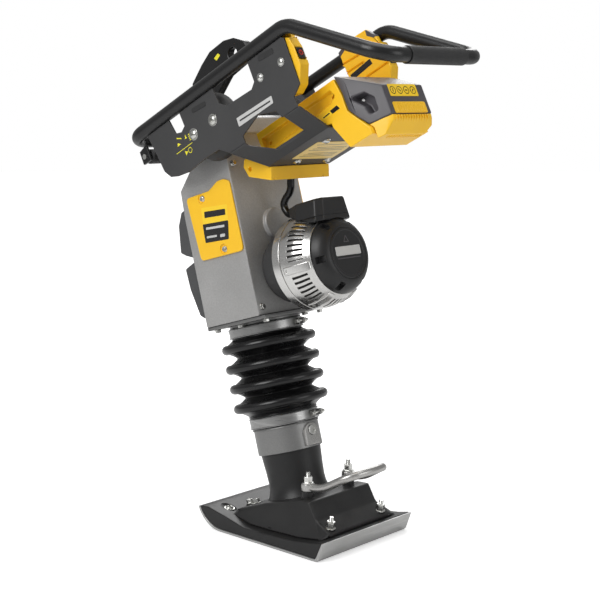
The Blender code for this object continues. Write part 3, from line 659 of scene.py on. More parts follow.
class EdgeWearAndHighlightGroup(ShaderGroup):
    """A mask of rubbed edges, broken up by noise; its lighter edges are partly wear and partly a painted
    highlight.
    """

    name = "edge wear and painted highlight"
    takes = {"Radius": 0.0015, "Breakup": 160.0, "Amount": 0.5}
    gives = ("Mask",)

    def lay(self, sheet: ShaderSheet, source: bpy.types.Node) -> dict[str, bpy.types.NodeSocket]:
        """How far a rounded normal leaves the true one, against noise."""
        soft = sheet.add("Bevel", {"Radius": source.outputs["Radius"]}, samples=4).outputs[0]
        true = sheet.add("NewGeometry").outputs["Normal"]
        alike = sheet.add("VectorMath", {0: soft, 1: true}, operation="DOT_PRODUCT").outputs["Value"]
        edge = sheet.spread(alike, 0.995, 0.9, 0.0, 1.0)
        where = sheet.add("TexCoord").outputs["Object"]
        chips = sheet.add("TexNoise", {"Vector": where, "Scale": source.outputs["Breakup"], "Detail": 4.0,
            "Roughness": 0.7}).outputs[0]
        broken = sheet.math("MULTIPLY", edge, sheet.spread(chips, 0.42, 0.6, 0.25, 1.0))
        return {"Mask": sheet.math("MULTIPLY", broken, source.outputs["Amount"], clamp=True)}


class DustGroup(ShaderGroup):
    """A thin film of dust that settles where a surface looks up."""

    name = "settled dust"
    takes = {"Amount": 0.15, "Scale": 14.0}
    gives = ("Mask",)

    def lay(self, sheet: ShaderSheet, source: bpy.types.Node) -> dict[str, bpy.types.NodeSocket]:
        """The upward part of the surface against cloudy noise."""
        coordinates = sheet.add("TexCoord")
        up = sheet.add("SeparateXYZ", {0: coordinates.outputs["Normal"]}).outputs["Z"]
        cloud = sheet.add("TexNoise", {"Vector": coordinates.outputs["Object"],
            "Scale": source.outputs["Scale"], "Detail": 5.0, "Roughness": 0.65}).outputs[0]
        film = sheet.math("MULTIPLY", sheet.spread(up, 0.15, 0.95, 0.12, 1.0), sheet.spread(cloud, 0.36, 0.7,
            0.0, 1.0))
        return {"Mask": sheet.math("MULTIPLY", film, source.outputs["Amount"], clamp=True)}


# ---- finishes -------------------------------------------------------------------------------------------
@dataclass(frozen=True)
class Finish:
    """A surface finish; each kind lays its own nodes over one Principled shader."""

    name: str
    colour: Colour
    patch: Colour
    roughness: Point2 = (0.4, 0.55)
    metallic: float = 0.0
    grain: float = 700.0
    depth: float = 0.00005
    pits: float = 0.0
    # edge marks: partly rubbed wear, partly a painted highlight along the edges, mostly lighter than the
    # finish
    wear_and_highlight: float = 0.0
    wear_and_highlight_colour: Colour = (0.45, 0.45, 0.46)
    dust: float = 0.05
    dust_colour: Colour = (0.42, 0.4, 0.36)
    coat: float = 0.0
    gloss: float = 0.5

    def material(self) -> bpy.types.Material:
        """The finish's material, built when it is first asked for."""
        if self.name in bpy.data.materials:
            return bpy.data.materials[self.name]
        material = bpy.data.materials.new(self.name)
        material.use_nodes = True
        material.diffuse_color = (*self.colour, 1.0)
        sheet = ShaderSheet(material.node_tree)
        shader = material.node_tree.nodes["Principled BSDF"]
        shader.inputs["Metallic"].default_value = self.metallic
        shader.inputs["Specular IOR Level"].default_value = self.gloss
        shader.inputs["Coat Weight"].default_value = self.coat
        shader.inputs["Coat Roughness"].default_value = 0.12
        self.lay(sheet, shader)
        return material

    def join_up(self, sheet: ShaderSheet, shader: bpy.types.Node, **sockets: bpy.types.NodeSocket) -> None:
        """Joins finished colours and values to the shader; an input's name has _ for a space."""
        for name, socket in sockets.items():
            sheet.tree.links.new(socket, shader.inputs[name.replace("_", " ")])

    def aged_with_edge_highlight(self, sheet: ShaderSheet, colour: bpy.types.NodeSocket,
            roughness: bpy.types.NodeSocket) -> tuple[bpy.types.NodeSocket, bpy.types.NodeSocket]:
        """Adds rubbed edges, which also carry a painted edge highlight, and dust to a colour and a
        roughness.
        """
        if self.wear_and_highlight:
            # the edge mask lightens edges: partly rubbed wear, partly a painted highlight
            mask = EdgeWearAndHighlightGroup().put(sheet, Amount=self.wear_and_highlight).outputs["Mask"]
            colour = sheet.mix(mask, colour, self.wear_and_highlight_colour)
        dust = DustGroup().put(sheet, Amount=self.dust).outputs["Mask"]
        return sheet.mix(dust, colour, self.dust_colour), sheet.math("ADD", roughness, dust, clamp=True)

    def lay(self, sheet: ShaderSheet, shader: bpy.types.Node) -> None:
        """Grain, patches of colour and gloss, rubbed edges that also carry a painted edge highlight, dust
        and a bump.
        """
        grain = GrainGroup().put(sheet, Scale=self.grain, Pits=self.pits)
        colour = sheet.mix(grain.outputs["Patches"], self.colour, self.patch)
        roughness = sheet.spread(grain.outputs["Fleck"], 0.0, 1.0, *self.roughness)
        colour, roughness = self.aged_with_edge_highlight(sheet, colour, roughness)
        bump = sheet.add("Bump", {"Height": grain.outputs["Height"], "Distance": self.depth,
            "Strength": 1.0})
        self.join_up(sheet, shader, Base_Color=colour, Roughness=roughness, Normal=bump.outputs[0])


@dataclass(frozen=True)
class CastFinish(Finish):
    """Sand-cast metal whose grain shows in its colour too."""

    def lay(self, sheet: ShaderSheet, shader: bpy.types.Node) -> None:
        """Coarse pitted grain that darkens the hollows, with finer grain over it."""
        coarse = GrainGroup().put(sheet, Scale=self.grain, Pits=self.pits)
        fine = GrainGroup().put(sheet, Scale=self.grain * 3.1, Pits=0.0, Patch_Scale=31.0)
        colour = sheet.mix(coarse.outputs["Patches"], self.colour, self.patch)
        hollows = sheet.math("MULTIPLY", coarse.outputs["Fleck"], 0.3)
        colour = sheet.mix(hollows, colour, tuple(c * 0.62 for c in self.patch))
        roughness = sheet.spread(fine.outputs["Fleck"], 0.0, 1.0, *self.roughness)
        colour, roughness = self.aged_with_edge_highlight(sheet, colour, roughness)
        height = sheet.math("ADD", coarse.outputs["Height"], sheet.math("MULTIPLY", fine.outputs["Height"],
            0.35))
        bump = sheet.add("Bump", {"Height": height, "Distance": self.depth, "Strength": 1.0})
        self.join_up(sheet, shader, Base_Color=colour, Roughness=roughness, Normal=bump.outputs[0])


@dataclass(frozen=True)
class MachinedFinish(Finish):
    """Turned, rolled or plated metal with fine lines and a few scratches."""

    lines: float = 900.0

    def lay(self, sheet: ShaderSheet, shader: bpy.types.Node) -> None:
        """Lines in the bump and the gloss, slow patches in the colour."""
        brushed = BrushedGroup().put(sheet, Across=self.lines)
        grain = GrainGroup().put(sheet, Scale=self.grain, Pits=0.0)
        colour = sheet.mix(grain.outputs["Patches"], self.colour, self.patch)
        colour = sheet.mix(sheet.math("MULTIPLY", brushed.outputs["Scratches"], 0.25), colour,
            self.wear_and_highlight_colour)
        roughness = sheet.spread(brushed.outputs["Lines"], 0.3, 0.7, *self.roughness)
        colour, roughness = self.aged_with_edge_highlight(sheet, colour, roughness)
        bump = sheet.add("Bump", {"Height": brushed.outputs["Lines"], "Distance": self.depth,
            "Strength": 1.0})
        self.join_up(sheet, shader, Base_Color=colour, Roughness=roughness, Normal=bump.outputs[0])


@dataclass(frozen=True)
class RubberFinish(Finish):
    """Moulded rubber with a faint bloom and mould flow marks."""

    bloom: Colour = (0.05, 0.05, 0.052)

    def lay(self, sheet: ShaderSheet, shader: bpy.types.Node) -> None:
        """Fine grain, a grey bloom in patches and soft flow marks."""
        grain = GrainGroup().put(sheet, Scale=self.grain, Pits=self.pits, Patch_Scale=22.0)
        flow = BrushedGroup().put(sheet, Across=160.0, Along=12.0)
        colour = sheet.mix(grain.outputs["Patches"], self.colour, self.patch)
        colour = sheet.mix(sheet.math("MULTIPLY", flow.outputs["Scratches"], 0.35), colour, self.bloom)
        roughness = sheet.spread(grain.outputs["Patches"], 0.0, 1.0, *self.roughness)
        colour, roughness = self.aged_with_edge_highlight(sheet, colour, roughness)
        height = sheet.math("ADD", grain.outputs["Height"], flow.outputs["Lines"])
        bump = sheet.add("Bump", {"Height": height, "Distance": self.depth, "Strength": 1.0})
        self.join_up(sheet, shader, Base_Color=colour, Roughness=roughness, Normal=bump.outputs[0])


CHARCOAL = Finish("charcoal powder coat", (0.04, 0.04, 0.041), (0.048, 0.048, 0.049), (0.44, 0.58),
    grain=1500.0, depth=0.00004, wear_and_highlight=0.25, wear_and_highlight_colour=(0.13, 0.13, 0.135), dust=0.03, gloss=0.35)
TUBE_BLACK = Finish("satin black tube paint", (0.0055, 0.0055, 0.006), (0.009, 0.009, 0.0095), (0.26, 0.36),
    grain=1100.0, depth=0.00003, wear_and_highlight=0.15, wear_and_highlight_colour=(0.07, 0.07, 0.07), dust=0.02, gloss=0.45)
FOOT_BLACK = CastFinish("black foot paint", (0.0095, 0.0095, 0.01), (0.015, 0.015, 0.0155), (0.32, 0.46),
    grain=420.0, depth=0.00006, wear_and_highlight=0.25, wear_and_highlight_colour=(0.08, 0.08, 0.082), dust=0.03, gloss=0.4)
YELLOW = Finish("yellow moulded plastic", (0.95, 0.555, 0.012), (0.9, 0.51, 0.01), (0.36, 0.48),
    grain=1700.0, depth=0.000035, wear_and_highlight=0.1, wear_and_highlight_colour=(0.98, 0.66, 0.16), dust=0.04, coat=0.08)
GREY_PLASTIC = Finish("warm grey plastic", (0.064, 0.06, 0.068), (0.074, 0.07, 0.078), (0.32, 0.46),
    grain=1500.0, depth=0.00004, wear_and_highlight=0.15, wear_and_highlight_colour=(0.17, 0.17, 0.18), dust=0.03, coat=0.05)
BUMPER_GREY = CastFinish("moulded bumper", (0.055, 0.056, 0.058), (0.066, 0.067, 0.069), (0.5, 0.66),
    grain=520.0, depth=0.00008, wear_and_highlight=0.15, wear_and_highlight_colour=(0.14, 0.14, 0.14), dust=0.04)
BLACK_PLASTIC = Finish("black moulded plastic", (0.01, 0.01, 0.0105), (0.014, 0.014, 0.0145), (0.32, 0.44),
    grain=1300.0, depth=0.00004, wear_and_highlight=0.15, wear_and_highlight_colour=(0.06, 0.06, 0.06), dust=0.03, gloss=0.4)
RUBBER = RubberFinish("black rubber", (0.0035, 0.0035, 0.0038), (0.006, 0.006, 0.0065), (0.2, 0.3),
    grain=900.0, depth=0.00003, dust=0.01, gloss=0.4, bloom=(0.02, 0.02, 0.021))
GRIP_RUBBER = RubberFinish("matt grip rubber", (0.012, 0.012, 0.0125), (0.018, 0.018, 0.019), (0.5, 0.62),
    grain=1300.0, depth=0.0001, pits=0.5, dust=0.05)
HOUSING_CAST = CastFinish("cast housing paint", (0.43, 0.427, 0.421), (0.36, 0.357, 0.352), (0.4, 0.54),
    metallic=0.4, grain=260.0, depth=0.00055, pits=0.4, wear_and_highlight=0.25, wear_and_highlight_colour=(0.5, 0.5, 0.49), dust=0.03)
MOTOR_SILVER = CastFinish("motor silver", (0.74, 0.735, 0.72), (0.6, 0.595, 0.58), (0.14, 0.24),
    metallic=0.95, grain=620.0, depth=0.00008, pits=0.2, wear_and_highlight=0.25, wear_and_highlight_colour=(0.8, 0.8, 0.78), dust=0.02)
FLANGE_GREY = CastFinish("flange grey", (0.24, 0.24, 0.237), (0.19, 0.19, 0.188), (0.3, 0.44), metallic=0.8,
    grain=520.0, depth=0.0001, pits=0.2, wear_and_highlight=0.35, wear_and_highlight_colour=(0.6, 0.6, 0.59), dust=0.03)
# painted shadow: the adapter's dark grey stands for the shade between the housing and the motor rim
PAINTED_SHADOW_GREY = CastFinish("adapter painted shadow", (0.06, 0.06, 0.061), (0.045, 0.045, 0.046), (0.46, 0.6),
    metallic=0.3, grain=420.0, depth=0.0001, dust=0.02)
# painted shadow for the floors of the motor vents
VENT_SHADOW = Finish("vent shadow", (0.03, 0.029, 0.028), (0.018, 0.018, 0.017), (0.6, 0.75), grain=900.0,
    depth=0.00004, dust=0.0, gloss=0.2)
CAST_ALUMINIUM = CastFinish("bare cast aluminium", (0.52, 0.515, 0.5), (0.42, 0.415, 0.4), (0.24, 0.38),
    metallic=0.9, grain=520.0, depth=0.0001, pits=0.2, wear_and_highlight=0.25, wear_and_highlight_colour=(0.76, 0.76, 0.74), dust=0.02)
SILVER_PAINT = CastFinish("silver leg paint", (0.26, 0.26, 0.257), (0.21, 0.21, 0.207), (0.32, 0.44),
    metallic=0.7, grain=480.0, depth=0.00008, wear_and_highlight=0.2, wear_and_highlight_colour=(0.55, 0.55, 0.54), dust=0.02)
ZINC = MachinedFinish("bright zinc plating", (0.7, 0.7, 0.68), (0.58, 0.58, 0.55), (0.16, 0.3), metallic=1.0,
    depth=0.00002, wear_and_highlight=0.3, wear_and_highlight_colour=(0.4, 0.4, 0.38), dust=0.03)
ROLLED_STEEL = MachinedFinish("rolled sole steel", (0.5, 0.5, 0.495), (0.42, 0.42, 0.415), (0.34, 0.5),
    metallic=0.75, lines=500.0, depth=0.00004, wear_and_highlight=0.4, wear_and_highlight_colour=(0.68, 0.68, 0.67), dust=0.06)
CLAMP_STEEL = MachinedFinish("stainless clamp band", (0.33, 0.33, 0.327), (0.28, 0.28, 0.277), (0.24, 0.38),
    metallic=0.9, lines=700.0, depth=0.00002, wear_and_highlight=0.25, wear_and_highlight_colour=(0.66, 0.66, 0.65), dust=0.02)
COPPER = MachinedFinish("varnished copper winding", (0.55, 0.2, 0.07), (0.42, 0.14, 0.05), (0.26, 0.42),
    metallic=0.9, lines=1400.0, depth=0.00008, dust=0.02)
LABEL_BLACK = Finish("black label film", (0.014, 0.014, 0.015), (0.018, 0.018, 0.019), (0.22, 0.3),
    grain=1600.0, depth=0.00001, dust=0.02)
LABEL_LIGHT = Finish("light label print", (0.58, 0.58, 0.57), (0.5, 0.5, 0.49), (0.3, 0.42), grain=1600.0,
    depth=0.00001, dust=0.03)
LABEL_YELLOW = Finish("yellow label film", (0.96, 0.66, 0.03), (0.92, 0.6, 0.025), (0.26, 0.36),
    grain=1600.0, depth=0.00001, dust=0.03)
LABEL_PALE = Finish("pale instruction film", (0.8, 0.58, 0.16), (0.72, 0.5, 0.12), (0.3, 0.42), grain=1600.0,
    depth=0.00001, dust=0.05)
SIGN_YELLOW = Finish("yellow sign print", (0.9, 0.82, 0.04), (0.8, 0.72, 0.03), (0.34, 0.44), grain=1500.0,
    depth=0.00001, dust=0.03)
SIGNAL_RED = Finish("red button print", (0.62, 0.035, 0.02), (0.52, 0.028, 0.016), (0.3, 0.4), grain=1500.0,
    depth=0.00001, dust=0.02)


# ---- fasteners ------------------------------------------------------------------------------------------
@dataclass
class Fastener:
    """A fastener that is modelled once, standing on the bench, and copied to each place it is used."""

    name: str
    finish: Finish = ZINC
    master: Piece | None = field(default=None, init=False)

    def model(self) -> Piece:
        """Models the fastener standing on zero with its head up."""
        raise NotImplementedError

    def fit(self, name: str, where: Matrix, body: str) -> Piece:
        """Fits one copy.

        Args:
            name: the copy's name.
            where: the matrix that stands it in its place.
            body: the CAD body that it moves with.

        Returns:
            The copy.
        """
        if self.master is None:
            self.master = self.model().smooth()
            self.master.obj.hide_render = self.master.obj.hide_viewport = True
        copy = self.master.twin(name, where)
        copy.obj.hide_render = copy.obj.hide_viewport = False
        return copy.dress(self.finish, body, "bright_steel")

    def put_away(self) -> None:
        """Takes the master off the bench when its last copy is fitted."""
        if self.master is not None:
            bpy.data.objects.remove(self.master.obj)
            self.master = None


@dataclass
class StudNut(Fastener):
    """A threaded stud with a washer, a flanged nut and a free end."""

    stud: float = 0.0048
    across: float = 0.0165
    height: float = 0.0115
    free: float = 0.011

    def model(self) -> Piece:
        """A turned washer and flange, a six-sided nut with its corners eased, and ridges for the thread."""
        flat = self.across / 2
        washer = Piece.turned("washer", [(0.003, 0.0), (flat * 1.34, 0.0), (flat * 1.4, 0.0006),
            (flat * 1.38, 0.002), (flat * 1.08, 0.0034), (0.003, 0.0034)], 32)
        corner = flat / cos(radians(30))
        nut = Piece.plate("nut", six_sided(corner), 0.003, 0.003 + self.height, Plane.TOP)
        nut.pick_faces(lambda c, n: n.z > 0.9).inset(corner * 0.1)
        nut.move_picked((0.0, 0.0, 0.0009))
        nut.round_edges(0.0004, 2, 25)
        top, pitch = 0.003 + self.height + self.free, 0.0016
        profile: list[Point2] = [(0.0, 0.002)]
        z = 0.002
        while z < top - 2 * pitch:
            profile += [(self.stud, z + pitch * 0.4), (self.stud * 0.88, z + pitch * 0.9)]
            z += pitch
        profile += [(self.stud, z + 0.0006), (self.stud * 0.78, z + 0.0018), (0.0, z + 0.0018)]
        stud = Piece.turned("stud", profile, 18, closed=False)
        return washer.join(nut, stud)


@dataclass
class HexBolt(Fastener):
    """A flanged hexagon bolt head."""

    across: float = 0.013
    height: float = 0.0055

    def model(self) -> Piece:
        """A six-sided head with an eased, slightly dished top on a turned flange."""
        flat = self.across / 2
        corner = flat / cos(radians(30))
        head = Piece.plate("head", six_sided(corner), 0.001, self.height, Plane.TOP)
        head.pick_faces(lambda c, n: n.z > 0.9).inset(corner * 0.14)
        head.move_picked((0.0, 0.0, 0.0006)).inset(corner * 0.2)
        head.move_picked((0.0, 0.0, -0.0004))
        head.round_edges(0.0003, 2, 25)
        flange = Piece.turned("flange", [(0.001, 0.0), (flat * 1.32, 0.0), (flat * 1.36, 0.0005),
            (flat * 1.12, 0.0018), (0.001, 0.0018)], 32)
        return head.join(flange)


@dataclass
class SocketScrew(Fastener):
    """A domed screw with a six-sided socket."""

    radius: float = 0.0085
    height: float = 0.0045
    socket: float = 0.003

    def model(self) -> Piece:
        """A turned dome on a thin washer, with the socket cut into it."""
        r, h = self.radius, self.height
        profile: list[Point2] = [(0.0, 0.0), (r * 1.28, 0.0), (r * 1.3, 0.0004), (r * 1.26, 0.0011),
            (r, 0.0012)]
        profile += [(r * cos(radians(t)), 0.0012 + (h - 0.0012) * sin(radians(t))) for t in range(15, 76,
            12)]
        profile += [(r * 0.2, h), (0.0, h)]
        dome = Piece.turned("dome", profile, 40, closed=False)
        corner = self.socket / cos(radians(30))
        return dome.cut(Piece.plate("key_hole", six_sided(corner), h * 0.35, h * 2.0,
            Plane.TOP)).round_edges(0.0002, 2)


# ---- sub-assemblies ---------------------------------------------------------------------------------------
@dataclass
class TampingFoot:
    """The sole plate, the shoe above it, the casting with its neck, and the lifting loop."""

    body: str = "foot"
    half_width: float = 0.118
    taper: float = 0.8
    top: tuple[Point2, ...] = ((0.112, 0.0425), (0.034, 0.071), (-0.005, 0.081), (-0.062, 0.098),
        (-0.092, 0.1), (-0.112, 0.066), (-0.15, 0.0445))
    bottom: tuple[Point2, ...] = ((-0.15, 0.0395), (-0.139, 0.0364), (-0.082, 0.0284), (-0.002, 0.0254),
        (0.053, 0.0254), (0.106, 0.0374), (0.116, 0.0394))
    neck: tuple[Point2, ...] = ((0.078, 0.05), (0.0745, 0.06), (0.069, 0.072), (0.064, 0.084),
        (0.061, 0.096), (0.0601, 0.11), (0.061, 0.13), (0.0626, 0.15), (0.0638, 0.166), (0.0643, 0.1716))
    loop_end: Point3 = (-0.06, 0.063, 0.1113)
    loop_radius: float = 0.0085
    loop_path: tuple[Point3, ...] = ((-0.06, 0.063, 0.1195), (-0.085, 0.063, 0.1205), (-0.112, 0.062, 0.129),
        (-0.15, 0.058, 0.15), (-0.171, 0.04, 0.16))

    def build(self) -> None:
        """Builds the foot from the ground up."""
        self.make_shoe()
        self.make_casting()
        self.make_loop()
        self.fit_bolts()

    def make_shoe(self) -> None:
        """The steel sole with eased edges, and the black shoe with its front pockets."""
        sole = Piece.of_node("sole_skin", "sole_plate")
        sole.round_edges(0.0012, 2, 25).smooth().dress(ROLLED_STEEL, self.body, "sole_steel", ["sole_plate"])
        shoe = Piece.of_node("shoe_filler", "shoe_body").round_edges(0.0022, 3, 28)
        dishes = []
        for side in (1, -1):
            dish = Piece.turned("dish_tool", [(0.0, -0.004), (0.008, -0.0035), (0.0135, 0.0), (0.015, 0.006),
                (0.0, 0.006)], 40, closed=False)
            dish.edit()
            bpy.ops.mesh.select_all(action="SELECT")
            dish.scale_picked((1.55, 1.0, 1.0))
            dishes.append(dish.place(Matrix.Translation((0.135, side * 0.1002, 0.0425))
                @ Matrix.Rotation(radians(-11), 4, "Y")))
        shoe.cut(*dishes).smooth().dress(FOOT_BLACK, self.body, "black_paint", ["shoe_body"])

    def make_casting(self) -> None:
        """The sloping platform, drawn in at its top, and the neck that leans up out of it."""
        base = Piece.plate("foot_casting_body", self.bottom + self.top, -self.half_width, self.half_width)
        base.pick_faces(lambda c, n: n.z > 0.2 or (n.x < -0.3 and c.z > 0.05))
        base.scale_picked((1.0, self.taper, 1.0))
        base.round_edges(0.0045, 3, 20)
        neck = Piece.turned("neck_tool", [(0.0, 0.05), *self.neck, (0.0, 0.1716)], 96, closed=False)
        neck.place(LEG)
        bosses = []
        for side in (1, -1):
            boss = Piece.turned("boss_tool", [(0.0, 0.07), (0.017, 0.07), (0.0135, 0.094), (0.0122, 0.1095),
                (0.0112, 0.1108), (0.0, 0.1108)], 40, closed=False)
            bosses.append(boss.place(Matrix.Translation((-0.06, side * 0.063, 0.0))))
            button = Piece.turned("cast_button", [(0.0, 0.05), (0.0062, 0.05), (0.0058, 0.0595),
                (0.0035, 0.0618), (0.0, 0.0622)], 24, closed=False)
            bosses.append(button.place(Matrix.Translation((0.0765, side * 0.0325, -0.0045))))
        base.join(neck, *bosses).smooth(30)
        base.dress(FOOT_BLACK, self.body, "black_paint", ["foot_casting"])
        for side, name in ((1, "left"), (-1, "right")):
            rib = rounded([(side * 0.066, 0.062), (side * 0.1165, 0.034), (side * 0.1165, 0.03),
                (side * 0.062, 0.03)], 0.002)
            gusset = Piece.plate(f"foot_gusset_{name}", rib, -0.006, 0.004, Plane.REAR).round_edges(0.0018)
            gusset.smooth().dress(FOOT_BLACK, self.body, "black_paint")

    def make_loop(self) -> None:
        """The round lifting bar with an eye at each end."""
        half = [Vector(p) for p in self.loop_path]
        knots = half + [Vector((-0.179, 0.0, 0.163))] + [Vector((p.x, -p.y, p.z)) for p in reversed(half)]
        loop = Piece.pipe("lifting_loop", flowing(knots, 8), self.loop_radius * 0.98, sides=8)
        eyes = []
        for side in (1, -1):
            eye = Piece.turned("eye", [(0.005, 0.0), (0.0128, 0.0), (0.014, 0.0016), (0.014, 0.013),
                (0.0126, 0.0148), (0.005, 0.0148)], 44)
            eyes.append(eye.place(Matrix.Translation((self.loop_end[0], side * self.loop_end[1],
                self.loop_end[2] + 0.0002))))
        loop.join(*eyes).smooth(40).dress(CAST_ALUMINIUM, self.body, "bright_steel", ["lift_loop"])

    def fit_bolts(self) -> None:
        """The studs with nuts at the rear and on the loop, and the bolts in the front pockets."""
        stud, bolt = StudNut("foot_stud"), HexBolt("foot_bolt", across=0.0165, height=0.0095)
        dome = SocketScrew("foot_dome", radius=0.0088, height=0.0062, socket=0.0032)
        slope = Vector((-0.5, 0.0, 0.87))
        for side, name in ((1, "left"), (-1, "right")):
            stud.fit(f"rear_stud_{name}", standing((-0.1345, side * 0.0785, 0.0515), (-0.18, 0, 0.98), 12),
                self.body)
            cup = Piece.turned(f"rear_cup_{name}", [(0.004, -0.004), (0.015, -0.004), (0.0158, 0.000),
                (0.0142, 0.0022), (0.004, 0.0022)], 40)
            cup.place(standing((-0.134, side * 0.0785, 0.0505), slope)).smooth()
            cup.dress(FOOT_BLACK, self.body, "black_paint")
            stud.fit(f"loop_stud_{name}", standing((self.loop_end[0], side * 0.063, 0.1263), (0, 0, 1), 20),
                self.body)
            dome.fit(f"toe_screw_{name}", standing((0.133, side * 0.1002, 0.0405), (-0.15, 0, 0.98)),
                self.body)
            bolt.fit(f"toe_bolt_{name}", standing((0.1045, side * 0.0478, 0.0455), (0.36, 0, 0.93), 15),
                self.body)
            cup = Piece.turned(f"toe_cup_{name}", [(0.004, -0.006), (0.015, -0.006), (0.0158, -0.001),
                (0.0142, 0.0012), (0.004, 0.0012)], 40)
            cup.place(standing((0.104, side * 0.0478, 0.0448), (0.36, 0, 0.93))).smooth()
            cup.dress(FOOT_BLACK, self.body, "black_paint")
            small = StudNut("toe_nut", across=0.0125, height=0.007, free=0.004, stud=0.0035)
            small.fit(f"toe_nut_{name}", standing((0.1165, side * 0.053, 0.0425), (0.36, 0, 0.93), 8),
                self.body)
            small.put_away()
        for fastener in (stud, bolt, dome):
            fastener.put_away()


